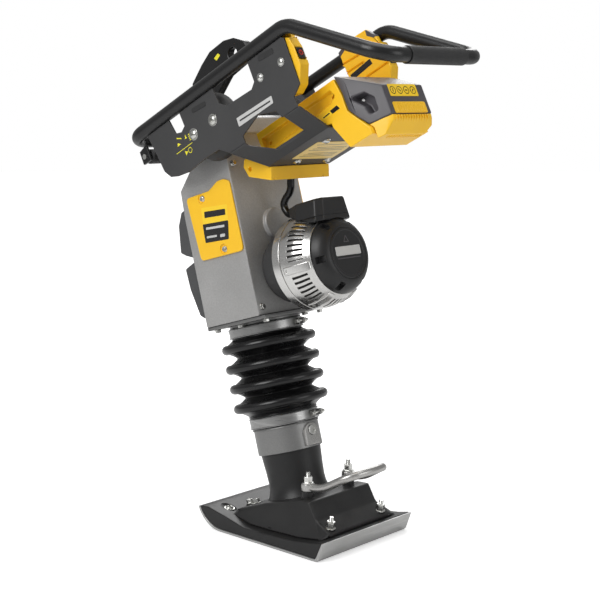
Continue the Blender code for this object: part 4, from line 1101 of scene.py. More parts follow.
@dataclass
class SpringLeg:
    """The silver spring cylinder, the bellows over it and the two clamps."""

    body: str = "foot"
    cylinder: float = 0.0695
    rings: tuple[float, ...] = (0.278, 0.3205, 0.363, 0.4055)
    ring_radius: float = 0.1022
    valley: float = 0.0732
    wall: float = 0.0026

    def build(self) -> None:
        """Builds the cylinder, its plug, the bellows and the clamps."""
        self.make_cylinder()
        self.make_bellows()
        self.make_clamp("lower_band", "lower_clamp", "foot", 0.0727, 0.23, 0.252, -0.018, 0.019)
        self.make_clamp("upper_band", "upper_clamp", "upper", 0.0783, 0.4265, 0.4465, -0.02, 0.0165)

    def make_cylinder(self) -> None:
        """The cylinder with the thin rim under the clamp, and the flat pad that carries the sight plug."""
        r = self.cylinder
        sleeve = Piece.turned("spring_sleeve", [(0.056, 0.1725), (r - 0.0006, 0.1725), (r, 0.1731),
            (r, 0.2242), (r + 0.0021, 0.2248), (r + 0.0024, 0.2256), (r + 0.0021, 0.2264), (r, 0.227),
            (r, 0.335), (0.056, 0.335)], 120)
        sleeve.place(LEG).smooth(30).dress(SILVER_PAINT, self.body, "cast_aluminium", ["spring_cylinder"])
        arch = [(-0.0215, 0.1765), (0.0215, 0.1765), (0.0215, 0.2085)]
        arch += [(0.0185 * cos(radians(t)), 0.2085 + 0.0145 * sin(radians(t))) for t in range(15, 170,
            15)] + [(-0.0215, 0.2085)]
        pad = Piece.plate("plug_pad", arch, -0.0735, -0.063, Plane.REAR)
        pad.round_edges(0.0022, 3, 40)
        hole = Piece.turned("hole_tool", [(0.0, -0.001), (0.0118, -0.001), (0.0118, 0.02), (0.0, 0.02)], 40,
            closed=False)
        pad.cut(hole.place(standing((-0.0725, 0.0, 0.2075), (-1, 0, 0))))
        pad.place(LEG).smooth(40).dress(CAST_ALUMINIUM, self.body, "cast_aluminium")
        plug = Piece.turned("plug", [(0.0, 0.0), (0.0108, 0.0), (0.011, 0.0022), (0.0104, 0.003),
            (0.0082, 0.0033), (0.0078, 0.0022), (0.0, 0.0022)], 48, closed=False)
        plug.cut(Piece.plate("key_hole", six_sided(0.005), 0.0008, 0.01, Plane.TOP))
        plug.obj.name = "oil_sight_plug"
        plug.place(LEG @ standing((-0.0728, 0.0, 0.2075), (-1, 0, 0))).smooth()
        plug.dress(ZINC, self.body, "bright_steel", ["sight_plug"])

    def bellows_profile(self) -> list[Point2]:
        """The outer line of the bellows, from its lower collar to its upper one."""
        line: list[Point2] = [(0.0722, 0.2282), (0.0722, 0.2528), (0.074, 0.2548)]
        pitch = self.rings[1] - self.rings[0]
        tube = 0.0104
        middle = self.ring_radius - tube
        for height in self.rings:
            low, high = height - pitch / 2, height + pitch / 2
            line += [(self.valley, low + 0.0006), (self.valley + 0.002, low + 0.0026), (self.valley + 0.007,
                low + 0.0062), (middle - 0.0035, height - tube * 0.97)]
            line += [(middle + tube * cos(radians(t)), height + tube * sin(radians(t))) for t in range(-80,
                81, 16)]
            line += [(middle - 0.0035, height + tube * 0.97), (self.valley + 0.007, high - 0.0062),
                (self.valley + 0.002, high - 0.0026), (self.valley, high - 0.0006)]
        return line + [(0.0778, 0.4285), (0.0778, 0.4488)]

    def make_bellows(self) -> None:
        """The rubber bellows: four fat rings with sharp valleys, and a wall inside that follows them."""
        outer = self.bellows_profile()
        inner = [(max(radius - self.wall, 0.0701 if height < 0.4 else 0.076), height) for radius,
            height in reversed(outer)]
        bellows = Piece.turned("rubber_bellows", outer + inner, 112)
        bellows.place(LEG).smooth(50)
        bellows.dress_bending(RUBBER, ("foot", "upper"), (LEG @ Vector((0, 0, 0.256)), LEG
            @ Vector((0, 0, 0.427))), "rubber", "bellows")

    def make_clamp(self, name: str, node: str, body: str, radius: float, low: float, high: float,
            side: float, reach: float) -> None:
        """A clamp band with rolled edges, its two lugs and its cross bolt.

        Args:
            name: the band's name.
            node: the CAD node that it replaces.
            body: the body that it rides on.
            radius: the band's inner radius.
            low: its lower edge along the leg.
            high: its upper edge.
            side: where the bolt's middle is, across the machine.
            reach: half the bolt's length.
        """
        t = 0.0013
        band = Piece.turned(name, [(radius, low + 0.0008), (radius + 0.0004, low), (radius + 0.0024, low
            + 0.0004), (radius + 0.0026, low + 0.0012), (radius + t, low + 0.0024), (radius + t, high
            - 0.0024), (radius + 0.0026, high - 0.0012), (radius + 0.0022, high - 0.0004), (radius + 0.0004,
            high), (radius, high - 0.0008)], 112)
        middle = (low + high) / 2
        band.place(LEG).smooth(40).dress(CLAMP_STEEL, body, "bright_steel", [node])
        out = -(radius + 0.0062)
        lugs = []
        for k, y in enumerate((side - reach * 0.42, side + reach * 0.42)):
            tab = rounded([(-radius + 0.002, middle - 0.007), (out - 0.0045, middle - 0.0062), (out - 0.0045,
                middle + 0.0062), (-radius + 0.002, middle + 0.007)], [0.0005, 0.0045, 0.0045, 0.0005])
            lugs.append(Piece.plate(f"lug_{k}", tab, y - 0.0014, y + 0.0014).round_edges(0.0005, 2))
        lugs[0].join(lugs[1]).place(LEG).smooth()
        lugs[0].obj.name = f"{name}_lugs"
        lugs[0].dress(CLAMP_STEEL, body, "bright_steel")
        bolt = StudNut("clamp_nut", stud=0.003, across=0.01, height=0.0055, free=0.0075)
        bolt.fit(f"{name}_nut", LEG @ standing((out, side - reach * 0.5, middle), (0, -1, 0), 10), body)
        bolt.put_away()
        head = HexBolt("clamp_head", across=0.01, height=0.0055)
        head.fit(f"{name}_bolt", LEG @ standing((out, side + reach * 0.5, middle), (0, 1, 0), 25), body)
        head.put_away()
        shank = Piece.turned(f"{name}_shank", [(0.0, -reach * 0.55), (0.003, -reach * 0.55), (0.0026, 0.0),
            (0.003, reach * 0.55), (0.0, reach * 0.55)], 20, closed=False)
        shank.place(LEG @ standing((out, side, middle), (0, 1, 0))).smooth().dress(ZINC, body,
            "bright_steel")


@dataclass
class CrankHousing:
    """The cast housing with its flange, side covers, bumpers and rubber mounts."""

    body: str = "upper"
    half_width: float = 0.1
    cover: tuple[Point2, ...] = ((0.053, 0.738), (0.044, 0.601), (-0.086, 0.598), (-0.085, 0.745),
        (-0.069, 0.752), (-0.05, 0.752), (-0.02, 0.738))
    cover_bolts: tuple[Point2, ...] = ((0.005, 0.727), (-0.031, 0.612))
    panel: tuple[Point2, ...] = ((0.0114, 0.709), (-0.0675, 0.6995), (-0.0525, 0.629), (0.02, 0.6351))

    def build(self) -> None:
        """Builds the casting and all that is bolted to it."""
        self.make_casting()
        self.make_flange()
        for side in (1, -1):
            self.make_cover(side)
            self.make_mount(side)
        self.make_bumpers()
        self.fit_screws()

    def make_casting(self) -> None:
        """The casting with generous round edges."""
        housing = Piece.of_node("housing_casting", "crank_housing", LEG)
        housing.round_edges(0.003, 3, 30)
        housing.place(LEG).smooth(32).dress(HOUSING_CAST, self.body, "cast_paint", ["crank_housing"])

    def make_flange(self) -> None:
        """The flange plate with its short neck, and the dark gasket above it."""
        flange = Piece.of_node("flange_plate", "bottom_flange", LEG)
        flange.round_edges(0.0012, 3, 32)
        flange.place(LEG).smooth(32).dress(FLANGE_GREY, self.body, "cast_aluminium", ["bottom_flange"])
        edge = [(-0.0935, -0.0985), (0.0745, -0.0985), (0.0745, 0.0985), (-0.0935, 0.0985)]
        gasket = Piece.plate("flange_gasket", rounded(edge, 0.004), 0.4596, 0.4618, Plane.TOP)
        gasket.cut(Piece.plate("hole_tool", [(x * 0.9, y * 0.9) for x, y in edge], 0.44, 0.48, Plane.TOP))
        gasket.place(LEG).smooth().dress(LABEL_BLACK, self.body, "rubber")

    def make_cover(self, side: int) -> None:
        """One yellow cover: a raised field in a stepped border, half-round bolt recesses and a blank panel.

        Args:
            side: 1 for the left cover, -1 for the right one.
        """
        name = "left" if side == 1 else "right"
        outline = rounded(self.cover, [0.01, 0.01, 0.012, 0.01, 0.008, 0.01, 0.012])
        low, high = self.half_width + 0.0004, 0.1038
        cover = Piece.plate(f"yellow_cover_{name}", outline, side * low, side * high)
        cover.pick_faces(lambda c, n: n.y * side > 0.9).inset(0.0022)
        cover.move_picked((0.0, side * 0.001, 0.0))
        tools = []
        for a, h in self.cover_bolts:
            bore = Piece.turned("recess_tool", [(0.0, -0.1), (0.0112, -0.1), (0.0118, 0.2), (0.0, 0.2)], 40,
                closed=False, axis="Y")
            tools.append(bore.place(Matrix.Translation((a, 0.0, h)) @ Matrix.Translation((0, side * 0.2019,
                0))))
        cover.cut(*tools).round_edges(0.0008, 3, 30)
        cover.place(LEG).smooth().dress(YELLOW, self.body, "yellow_plastic", [f"side_cover_{name}"])
        bolt = HexBolt("cover_bolt", across=0.01, height=0.0032)
        for k, (a, h) in enumerate(self.cover_bolts):
            bolt.fit(f"cover_bolt_{name}_{k + 1}", LEG @ standing((a, side * 0.1019, h), (0, side, 0), 15
                * k), self.body)
        bolt.put_away()
        y = side * 0.1049
        field_edge = rounded(self.panel, 0.003)
        film = Piece.plate(f"cover_label_{name}", field_edge, y - side * 0.0004, y)
        film.place(LEG).smooth().dress(LABEL_YELLOW, self.body, "yellow_plastic")
        (ax, _), (bx, _), (cx, ch), (dx, dh) = self.panel
        block = rounded([(0.5 * (ax + dx) + 0.001, 0.6745), (0.5 * (bx + cx) - 0.001, 0.667), (cx + 0.0005,
            ch), (dx - 0.001, dh)], 0.003)
        black = Piece.plate(f"cover_label_block_{name}", block, y - side * 0.0002, y + side * 0.0002)
        black.place(LEG).smooth().dress(LABEL_BLACK, self.body, "black_plastic")
        marks = [Piece.plate("mark", rounded(corners, 0.0012), y - side * 0.0001, y + side * 0.0004)
            for corners in (((0.008, 0.666), (-0.048, 0.6606), (-0.0458, 0.656), (0.0098, 0.6614)),
            ((0.011, 0.648), (-0.02, 0.645), (-0.0185, 0.6408), (0.0122, 0.6438)), ((-0.03, 0.644),
            (-0.0445, 0.6426), (-0.0425, 0.6366), (-0.028, 0.638)))]
        marks[0].join(*marks[1:]).place(LEG).smooth()
        marks[0].obj.name = f"cover_label_marks_{name}"
        marks[0].dress(LABEL_LIGHT, self.body, "grey_plastic")
        bar = Piece.plate(f"cover_label_bar_{name}", rounded(((0.0045, 0.699), (-0.059, 0.6918),
            (-0.056, 0.6795), (0.0072, 0.6862)), 0.002), y - side * 0.0001, y + side * 0.0002)
        bar.place(LEG).smooth().dress(LABEL_BLACK, self.body, "black_plastic")

    def make_mount(self, side: int) -> None:
        """One rubber mount: a waisted rubber block between two steel discs.

        Args:
            side: 1 for the left mount, -1 for the right one.
        """
        name = "left" if side == 1 else "right"
        low, high, rim = 0.1006, 0.1475, 0.0035
        profile = [(0.0, low + rim), (0.059, low + rim), (0.0635, low + rim + 0.002), (0.0685, 0.11),
            (0.0697, 0.116), (0.0685, 0.1215), (0.064, 0.1265), (0.059, 0.13), (0.0555, 0.1345),
            (0.0545, high - rim), (0.0, high - rim)]
        pivot = HANDLE @ Matrix.Diagonal((1, side, 1, 1))
        rubber = Piece.turned(f"mount_rubber_{name}", profile, 80, closed=False, axis="Y")
        rubber.place(pivot).face_outwards().smooth(30).dress(GRIP_RUBBER, "handle", "rubber",
            [f"rubber_mount_{name}"])
        discs = [Piece.turned(f"disc_{k}", [(0.0, z), (r - 0.0006, z), (r, z + 0.0006),
            (r, z + rim - 0.0006), (r - 0.0006, z + rim), (0.0, z + rim)], 80, closed=False, axis="Y") for k,
            (z, r) in enumerate(((low, 0.0625), (high - rim, 0.055)))]
        discs[0].join(discs[1]).place(pivot).face_outwards().smooth()
        discs[0].obj.name = f"mount_discs_{name}"
        discs[0].dress(CHARCOAL, "handle", "rubber")

    def make_bumpers(self) -> None:
        """The two moulded lengths that guard the front, each with three sunk panels."""
        lower = rounded([(0.0748, 0.478), (0.0885, 0.484), (0.098, 0.491), (0.112, 0.55), (0.1145, 0.596),
            (0.0748, 0.608)], [0.001, 0.004, 0.004, 0.01, 0.006, 0.001])
        upper = rounded([(0.0748, 0.6115), (0.104, 0.623), (0.119, 0.632), (0.1085, 0.69), (0.092, 0.716),
            (0.0748, 0.72)], [0.001, 0.003, 0.005, 0.01, 0.006, 0.001])
        for name, node, outline, low, high in (("bumper_lower", "front_bumper_lower", lower, 0.478, 0.608),
                ("bumper_upper", "front_bumper_upper", upper, 0.6115, 0.7)):
            bumper = Piece.plate(name, outline, -0.0905, 0.0905)
            bumper.round_edges(0.0028, 3, 40)
            grooves = []
            for k in range(3):
                y = (-0.045, 0.0, 0.045)[k]
                slot = rounded([(y - 0.01, low + 0.035), (y + 0.01, low + 0.035), (y + 0.01, high - 0.03),
                    (y - 0.01, high - 0.03)], 0.004)
                grooves.append(Piece.plate("groove_tool", slot, 0.097, 0.13, Plane.REAR))
            bumper.cut(*grooves)
            bumper.place(LEG).smooth(34).dress(BUMPER_GREY, self.body, "grey_plastic", [node])

    def fit_screws(self) -> None:
        """The screws under the flange and the small ones on the rear face."""
        under = HexBolt("flange_bolt", across=0.0115, height=0.0065)
        for k, (a, y) in enumerate(((0.058, 0.084), (-0.016, 0.086), (-0.088, 0.082), (0.058, -0.084),
                (-0.016, -0.086), (-0.088, -0.082), (-0.093, -0.03))):
            under.fit(f"flange_bolt_{k + 1}", LEG @ standing((a, y, 0.4529), (0, 0, -1), 20 * k), self.body)
        under.put_away()
        rear = HexBolt("housing_bolt", across=0.01, height=0.006)
        for k, (y, h) in enumerate(((0.086, 0.478), (-0.086, 0.478), (0.086, 0.78), (-0.086, 0.78))):
            rear.fit(f"housing_bolt_{k + 1}", LEG @ standing((-0.0884, y, h), (-1, 0, 0), 10 * k), self.body)
        rear.put_away()


@dataclass
class DriveMotor:
    """The motor on the housing's rear: its cast shell with vents, the black cap, terminal box and cable."""

    body: str = "upper"
    steps: int = 216
    pads: tuple[float, ...] = (98.0, 155.0, 205.0, 262.0)
    cable: tuple[Point3, ...] = ((-0.1599, 0.0, 0.7265), (-0.1572, 0.0, 0.717), (-0.1542, 0.0, 0.7075),
        (-0.1475, 0.0, 0.698), (-0.136, 0.0, 0.6905), (-0.127, 0.0, 0.681), (-0.1265, 0.0, 0.67),
        (-0.1345, 0.0, 0.657), (-0.1482, 0.0, 0.6545))

    def build(self) -> None:
        """Builds the motor from the housing outwards."""
        self.make_adapter()
        self.make_shell()
        self.make_cap()
        self.make_terminal_box()
        self.make_cable()

    def make_adapter(self) -> None:
        """The turned flange between the housing and the shell, coloured a dark painted shadow grey for the
        shade between them.
        """
        profile = [(0.045, 0.0885), (0.063, 0.0885), (0.064, 0.0895), (0.064, 0.098), (0.072, 0.1028),
            (0.0722, 0.13), (0.0765, 0.1405), (0.0795, 0.1475), (0.0797, 0.1506), (0.045, 0.1506)]
        adapter = Piece.turned("motor_flange", profile, 108)
        # the adapter's dark finish is painted shadow
        adapter.place(MOTOR).smooth(30).dress(PAINTED_SHADOW_GREY, self.body, "cast_aluminium", ["motor_adapter"])

    def angle_of(self, point: Vector) -> float:
        """The angle of a point about the motor's axis, from the top towards the left, in degrees."""
        return degrees(atan2(point.y, point.x)) % 360.0

    def in_vent(self, angle: float) -> bool:
        """Whether a vent may open at this angle: clear of the terminal box and the flat pads."""
        if angle < 26.0 or angle > 334.0:
            return False
        if any(abs(angle - pad) < 9.0 for pad in self.pads):
            return False
        return (angle / (360.0 / self.steps)) % 4.0 < 2.0

    def make_shell(self) -> None:
        """The shell: a rim ring, a seam, one row of vents with painted shadow on their floors round a
        curving wall, and flat bolt pads.
        """
        outer = [(0.06, 0.1512), (0.094, 0.1512), (0.0972, 0.152), (0.098, 0.154), (0.098, 0.1705),
            (0.0972, 0.1718), (0.095, 0.1722), (0.095, 0.1738), (0.0976, 0.1742), (0.0986, 0.1752),
            (0.0986, 0.185), (0.0983, 0.1895), (0.0977, 0.194), (0.0968, 0.201), (0.0956, 0.208),
            (0.0938, 0.213), (0.0922, 0.2168), (0.09, 0.222), (0.0872, 0.229), (0.0845, 0.2345),
            (0.082, 0.239), (0.0802, 0.2425)]
        inner = [(0.0744, 0.2425), (0.0826, 0.224), (0.0895, 0.2085), (0.0922, 0.16), (0.06, 0.156)]
        shell = Piece.turned("motor_casing", outer + inner, self.steps)
        shell.pick_faces(lambda c, n: 0.193 < c.z < 0.229 and n.to_2d().dot(c.to_2d()) > 0
            and self.in_vent(self.angle_of(c)))
        shell.inset(0.0004, -0.0038)
        # the sunk vent floors get a painted shadow
        shell.stain_picked(VENT_SHADOW)
        shell.round_edges(0.0005, 2, 40)
        shell.place(MOTOR).smooth(34).dress(MOTOR_SILVER, self.body, "cast_aluminium", ["motor_shell"])
        for k, angle in enumerate(self.pads):
            self.make_pad(k + 1, angle)

    def make_pad(self, number: int, angle: float) -> None:
        """One flat pad along the shell with a countersunk screw.

        Args:
            number: the pad's number.
            angle: its place round the motor, in degrees from the top.
        """
        side = [(0.09, 0.18), (0.099, 0.18), (0.1, 0.1812), (0.1, 0.2), (0.0975, 0.206), (0.0935, 0.224),
            (0.086, 0.238), (0.082, 0.24)]
        pad = Piece.plate(f"casing_pad_{number}", side, -0.0085, 0.0085, Plane.SIDE)
        pad.round_edges(0.0018, 3, 25)
        bore = Piece.turned("screw_tool", [(0.0, 0.0975), (0.004, 0.0975), (0.0052, 0.11), (0.0, 0.11)], 28,
            closed=False)
        pad.cut(bore.place(Matrix.Translation((0.0, 0.0, 0.1905)) @ Matrix.Rotation(radians(90), 4, "Y")))
        pad.place(MOTOR @ Matrix.Rotation(radians(angle), 4, "Z")).smooth()
        pad.dress(MOTOR_SILVER, self.body, "cast_aluminium")

    def make_cap(self) -> None:
        """The black cap: six pockets round its shoulder and a ringed face with a blank plate."""
        profile = [(0.0, 0.2434), (0.0785, 0.2434), (0.0785, 0.2452), (0.0775, 0.248), (0.0757, 0.253),
            (0.073, 0.2585), (0.07, 0.263), (0.066, 0.2672), (0.062, 0.2702), (0.0575, 0.2722),
            (0.0548, 0.2731), (0.0532, 0.2718), (0.052, 0.2718), (0.0505, 0.2736), (0.047, 0.2738),
            (0.0455, 0.2729), (0.0445, 0.2727), (0.0, 0.2727)]
        cap = Piece.turned("motor_end_cap", profile, 144, closed=False)
        tools = []
        for k in range(6):
            angle = radians(35.0 + 60.0 * k)
            pocket = Piece.block("pocket_tool", (0.064, 0.09), (-0.0068, 0.0068), (0.25, 0.27))
            pocket.round_edges(0.0015, 2)
            tools.append(pocket.place(Matrix.Rotation(angle, 4, "Z")))
        cap.cut(*tools).round_edges(0.0005, 2, 40)
        cap.place(MOTOR).smooth(34).dress(BLACK_PLASTIC, self.body, "black_plastic", ["motor_cap"])
        plate = Piece.plate("cap_badge_plate", rounded([(-0.005, -0.037), (0.0135, -0.037), (0.0135, 0.037),
            (-0.005, 0.037)], 0.002), 0.2725, 0.2738, Plane.TOP)
        plate.pick_faces(lambda c, n: n.z > 0.9).inset(0.0012, -0.0004)
        plate.round_edges(0.0003, 2).place(MOTOR).smooth().dress(LABEL_LIGHT, self.body, "grey_plastic")
        line = Piece.plate("cap_badge_line", [(-0.0115, -0.034), (-0.0095, -0.034), (-0.0095, 0.034),
            (-0.0115, 0.034)], 0.2725, 0.2733, Plane.TOP)
        line.round_edges(0.0002, 2).place(MOTOR).smooth().dress(GREY_PLASTIC, self.body, "grey_plastic")
        tip = Piece.plate("cap_triangle", rounded([(0.0215, 0.0085), (0.0215, -0.0085), (0.0365, 0.0)],
            0.001), 0.2725, 0.2733, Plane.TOP)
        tip.cut(Piece.plate("hole_tool", [(0.0232, 0.0056), (0.0232, -0.0056), (0.0332, 0.0)], 0.26, 0.28,
            Plane.TOP))
        tip.place(MOTOR).smooth().dress(GREY_PLASTIC, self.body, "grey_plastic")

    def make_terminal_box(self) -> None:
        """The saddle box with round edges and a seam below its lid."""
        box = Piece.of_node("terminal_cover", "terminal_box", LEG)
        box.round_edges(0.004, 3, 30)
        seam = Piece.block("seam_tool", (-0.3, -0.1), (-0.12, 0.12), (0.6285, 0.6297))
        box.cut(seam.cut(Piece.of_node("core_tool", "terminal_box", LEG).shrink(0.96)))
        box.place(LEG).smooth(34).dress(BLACK_PLASTIC, self.body, "black_plastic", ["terminal_box"])

    def make_cable(self) -> None:
        """The motor cable, which bends between the controller box and the motor."""
        path = flowing(self.cable, 10)
        cable = Piece.pipe("drive_cable", [LEG @ p for p in path], 0.008, sides=8)
        cable.smooth(60).dress_bending(RUBBER, ("handle", "upper"), (LEG @ Vector(self.cable[1]), LEG
            @ Vector(self.cable[-2])), "rubber", "motor_cable")


@dataclass
class CarryHandle:
    """The tube loop, the two side plates, the tray, the front beam and the lifting bail."""

    body: str = "handle"
    tube_radius: float = 0.0145
    corners: tuple[Point3, ...] = ((0.2205, 0.15, 0.0725), (-0.292, 0.15, 0.0725), (-0.478, 0.15, -0.0865))
    bends: tuple[float, ...] = (0.045, 0.055, 0.045)
    plate_face: float = 0.152
    small_screws: tuple[Point2, ...] = ((-0.189, 0.0145), (-0.251, 0.0155))
    large_screws: tuple[Point2, ...] = ((-0.032, 0.0005), (0.032, -0.0005))

    def build(self) -> None:
        """Builds the frame and what is fixed to it."""
        self.make_tube()
        self.make_grip()
        for side in (1, -1):
            self.make_side_plate(side)
        self.make_tray()
        self.make_beam()
        self.make_bail()

    def make_tube(self) -> None:
        """The closed loop of tube, with six bends."""
        knots = [*self.corners, *((x, -y, z) for x, y, z in reversed(self.corners))]
        path = bent(knots, [*self.bends, *reversed(self.bends)], 14)
        tube = Piece.pipe("handle_loop", path, self.tube_radius, closed=True, sides=10)
        tube.place(HANDLE).smooth(60).dress(TUBE_BLACK, self.body, "tube_black", ["handle_tube"])

    def make_grip(self) -> None:
        """The rubber sleeve on the rear bar, with shallow rings and rolled ends."""
        inner, outer = self.tube_radius + 0.0004, 0.0168
        profile: list[Point2] = [(inner, -0.085), (outer - 0.0006, -0.085), (outer, -0.084), (outer, -0.07)]
        y = -0.069
        while y < 0.068:
            profile += [(outer - 0.0003, y), (outer, y + 0.0006), (outer, y + 0.0024), (outer - 0.0003, y
                + 0.003)]
            y += 0.0034
        profile += [(outer, 0.07), (outer, 0.084), (outer - 0.0006, 0.085), (inner, 0.085)]
        grip = Piece.turned("grip_sleeve", profile, 56, axis="Y")
        grip.place(HANDLE @ Matrix.Translation((-0.478, 0.0, -0.0865))).smooth(30)
        grip.dress(GRIP_RUBBER, self.body, "rubber", ["rear_grip"])

    def make_side_plate(self, side: int) -> None:
        """One side plate with its slots, screws, blank name strip and small signs.

        Args:
            side: 1 for the left plate, -1 for the right one.
        """
        name = "left" if side == 1 else "right"
        plate = Piece.of_node(f"frame_plate_{name}", f"side_plate_{name}", HANDLE)
        plate.round_edges(0.0007, 2, 32)
        plate.place(HANDLE).smooth(32).dress(CHARCOAL, self.body, "charcoal_paint", [f"side_plate_{name}"])
        face = self.plate_face * side
        pads = (((-0.2015, 0.0545), (-0.2425, 0.0505), (-0.2415, 0.039), (-0.1965, 0.0435)),
            ((0.0145, 0.048), (-0.0285, 0.0445), (-0.0265, 0.0345), (0.017, 0.0385)))
        for k, corners in enumerate(pads):
            pad = Piece.plate(f"plate_pad_{name}_{k + 1}", rounded(corners, 0.004), face, face + side
                * 0.0009)
            pad.round_edges(0.0004, 2).place(HANDLE).smooth()
            pad.dress(GRIP_RUBBER, self.body, "rubber")
        small = SocketScrew("plate_screw", radius=0.0068, height=0.0042, socket=0.0026)
        for k, (x, z) in enumerate(self.small_screws):
            small.fit(f"plate_screw_{name}_{k + 1}", HANDLE @ standing((x, face, z), (0, side, 0), 12 * k),
                self.body)
        small.put_away()
        large = SocketScrew("mount_screw", radius=0.0098, height=0.0056, socket=0.0036)
        for k, (x, z) in enumerate(self.large_screws):
            large.fit(f"mount_screw_{name}_{k + 1}", HANDLE @ standing((x, face, z), (0, side, 0), 17 * k),
                self.body)
        large.put_away()
        strip = Piece.plate(f"name_strip_{name}", rounded(((-0.0945, -0.0262), (-0.2, -0.0292),
            (-0.1985, -0.044), (-0.094, -0.0446)), 0.0022), face, face + side * 0.0004)
        strip.pick_faces(lambda c, n: n.y * side > 0.9).inset(0.0012)
        strip.move_picked((0.0, -side * 0.0002, 0.0))
        strip.place(HANDLE).smooth().dress(LABEL_LIGHT, self.body, "grey_plastic")
        bars = [Piece.plate("bar", rounded(corners, 0.0008), face + side * 0.0001, face + side * 0.00055)
            for corners in (((-0.101, -0.033), (-0.193, -0.0358), (-0.1925, -0.0388), (-0.1008, -0.036)),)]
        bars[0].place(HANDLE).smooth()
        bars[0].obj.name = f"name_strip_bar_{name}"
        bars[0].dress(CHARCOAL, self.body, "charcoal_paint")
        self.make_signs(side, name, face)

    def make_signs(self, side: int, name: str, face: float) -> None:
        """The small yellow signs at the front of a plate: a rule, two arrows and a ring.

        Args:
            side: 1 for the left plate, -1 for the right one.
            name: the plate's name.
            face: where its outer face is.
        """
        low, high = face, face + side * 0.0003
        shapes = [((0.0975, -0.014), (0.0435, -0.013), (0.0435, -0.0142), (0.0975, -0.0152)),
            ((0.082, 0.015), (0.069, 0.0085), (0.07, 0.0068), (0.0835, 0.013)), ((0.084, 0.004),
            (0.076, -0.002), (0.0875, -0.0025)), ((0.06, 0.002), (0.056, 0.01), (0.054, 0.0015)),
            ((0.048, 0.007), (0.044, 0.007), (0.044, 0.005), (0.048, 0.005)), ((0.048, 0.003),
            (0.044, 0.003), (0.044, 0.001), (0.048, 0.001)), ((0.048, -0.001), (0.044, -0.001),
            (0.044, -0.003), (0.048, -0.003)), ((0.048, -0.005), (0.044, -0.005), (0.044, -0.007),
            (0.048, -0.007)), ((0.072, -0.02), (0.063, -0.024), (0.071, -0.03))]
        marks = [Piece.plate("sign", corners, low, high) for corners in shapes]
        ring = Piece.turned("sign_ring", [(0.0048, min(low, high)), (0.006, min(low, high)),
            (0.006, max(low, high)), (0.0048, max(low, high))], 32, axis="Y")
        ring.place(Matrix.Translation((0.056, 0.0, -0.0245)))
        marks[0].join(*marks[1:], ring)
        marks[0].obj.name = f"plate_signs_{name}"
        marks[0].place(HANDLE).smooth().dress(SIGN_YELLOW, self.body, "yellow_plastic")

    def make_tray(self) -> None:
        """The folded tray with its pale underside film and its screws."""
        tray = Piece.of_node("tray_sheet", "battery_tray", HANDLE)
        tray.round_edges(0.0008, 2, 25)
        tray.place(HANDLE).smooth(32).dress(CHARCOAL, self.body, "charcoal_paint", ["battery_tray"])
        film = Piece.plate("tray_film", rounded([(-0.111, 0.056), (-0.19, 0.057), (-0.19, -0.06),
            (-0.148, -0.07), (-0.106, -0.0695)], 0.004), -0.1256, -0.125, Plane.TOP)
        film.place(HANDLE).smooth().dress(LABEL_PALE, self.body, "yellow_plastic")
        rules = [Piece.plate("rule", [(x, -0.055), (x, 0.045 - 0.006 * (k % 3)), (x - 0.0016, 0.045 - 0.006
            * (k % 3)), (x - 0.0016, -0.055)], -0.1258, -0.1252, Plane.TOP) for k,
            x in enumerate((-0.122, -0.129, -0.136, -0.15, -0.157, -0.164, -0.176))]
        rules[0].join(*rules[1:]).place(HANDLE)
        rules[0].obj.name = "tray_film_rules"
        rules[0].dress(LABEL_BLACK, self.body, "black_plastic")
        screw = SocketScrew("tray_screw", radius=0.007, height=0.006, socket=0.0027)
        for k, (x, y) in enumerate(((-0.0985, 0.027), (-0.0985, -0.062), (-0.196, 0.037), (-0.196, -0.037))):
            screw.fit(f"tray_screw_{k + 1}", HANDLE @ standing((x, y, -0.1252), (0, 0, -1), 9 * k),
                self.body)
        screw.put_away()

    def make_beam(self) -> None:
        """The cross tube between the plates, with a pressed flange at each end."""
        reach = 0.1474
        profile = [(0.0, -reach), (0.0235, -reach), (0.0245, -reach + 0.0012), (0.024, -reach + 0.0028),
            (0.0165, -reach + 0.0045), (0.015, -reach + 0.008), (0.015, reach - 0.008), (0.0165, reach
            - 0.0045), (0.024, reach - 0.0028), (0.0245, reach - 0.0012), (0.0235, reach), (0.0, reach)]
        beam = Piece.turned("cross_beam", profile, 64, closed=False, axis="Y")
        beam.place(HANDLE @ Matrix.Translation((0.115, 0.0, 0.0))).smooth()
        beam.dress(TUBE_BLACK, self.body, "tube_black", ["front_beam"])

    def make_bail(self) -> None:
        """The lifting bail with rounded edges, its eye and a small sticker."""
        bail = Piece.of_node("crane_bail", "lifting_bail", HANDLE)
        bail.round_edges(0.0034, 4, 28)
        bail.place(HANDLE).smooth(34).dress(TUBE_BLACK, self.body, "tube_black", ["lifting_bail"])
        for side, name in ((1, "left"), (-1, "right")):
            sticker = Piece.plate(f"bail_sticker_{name}", rounded([(0.04, 0.179), (0.025, 0.183),
                (0.02, 0.176), (0.035, 0.171)], 0.002), side * 0.01, side * 0.0104)
            sticker.place(HANDLE).smooth().dress(SIGN_YELLOW, self.body, "yellow_plastic")


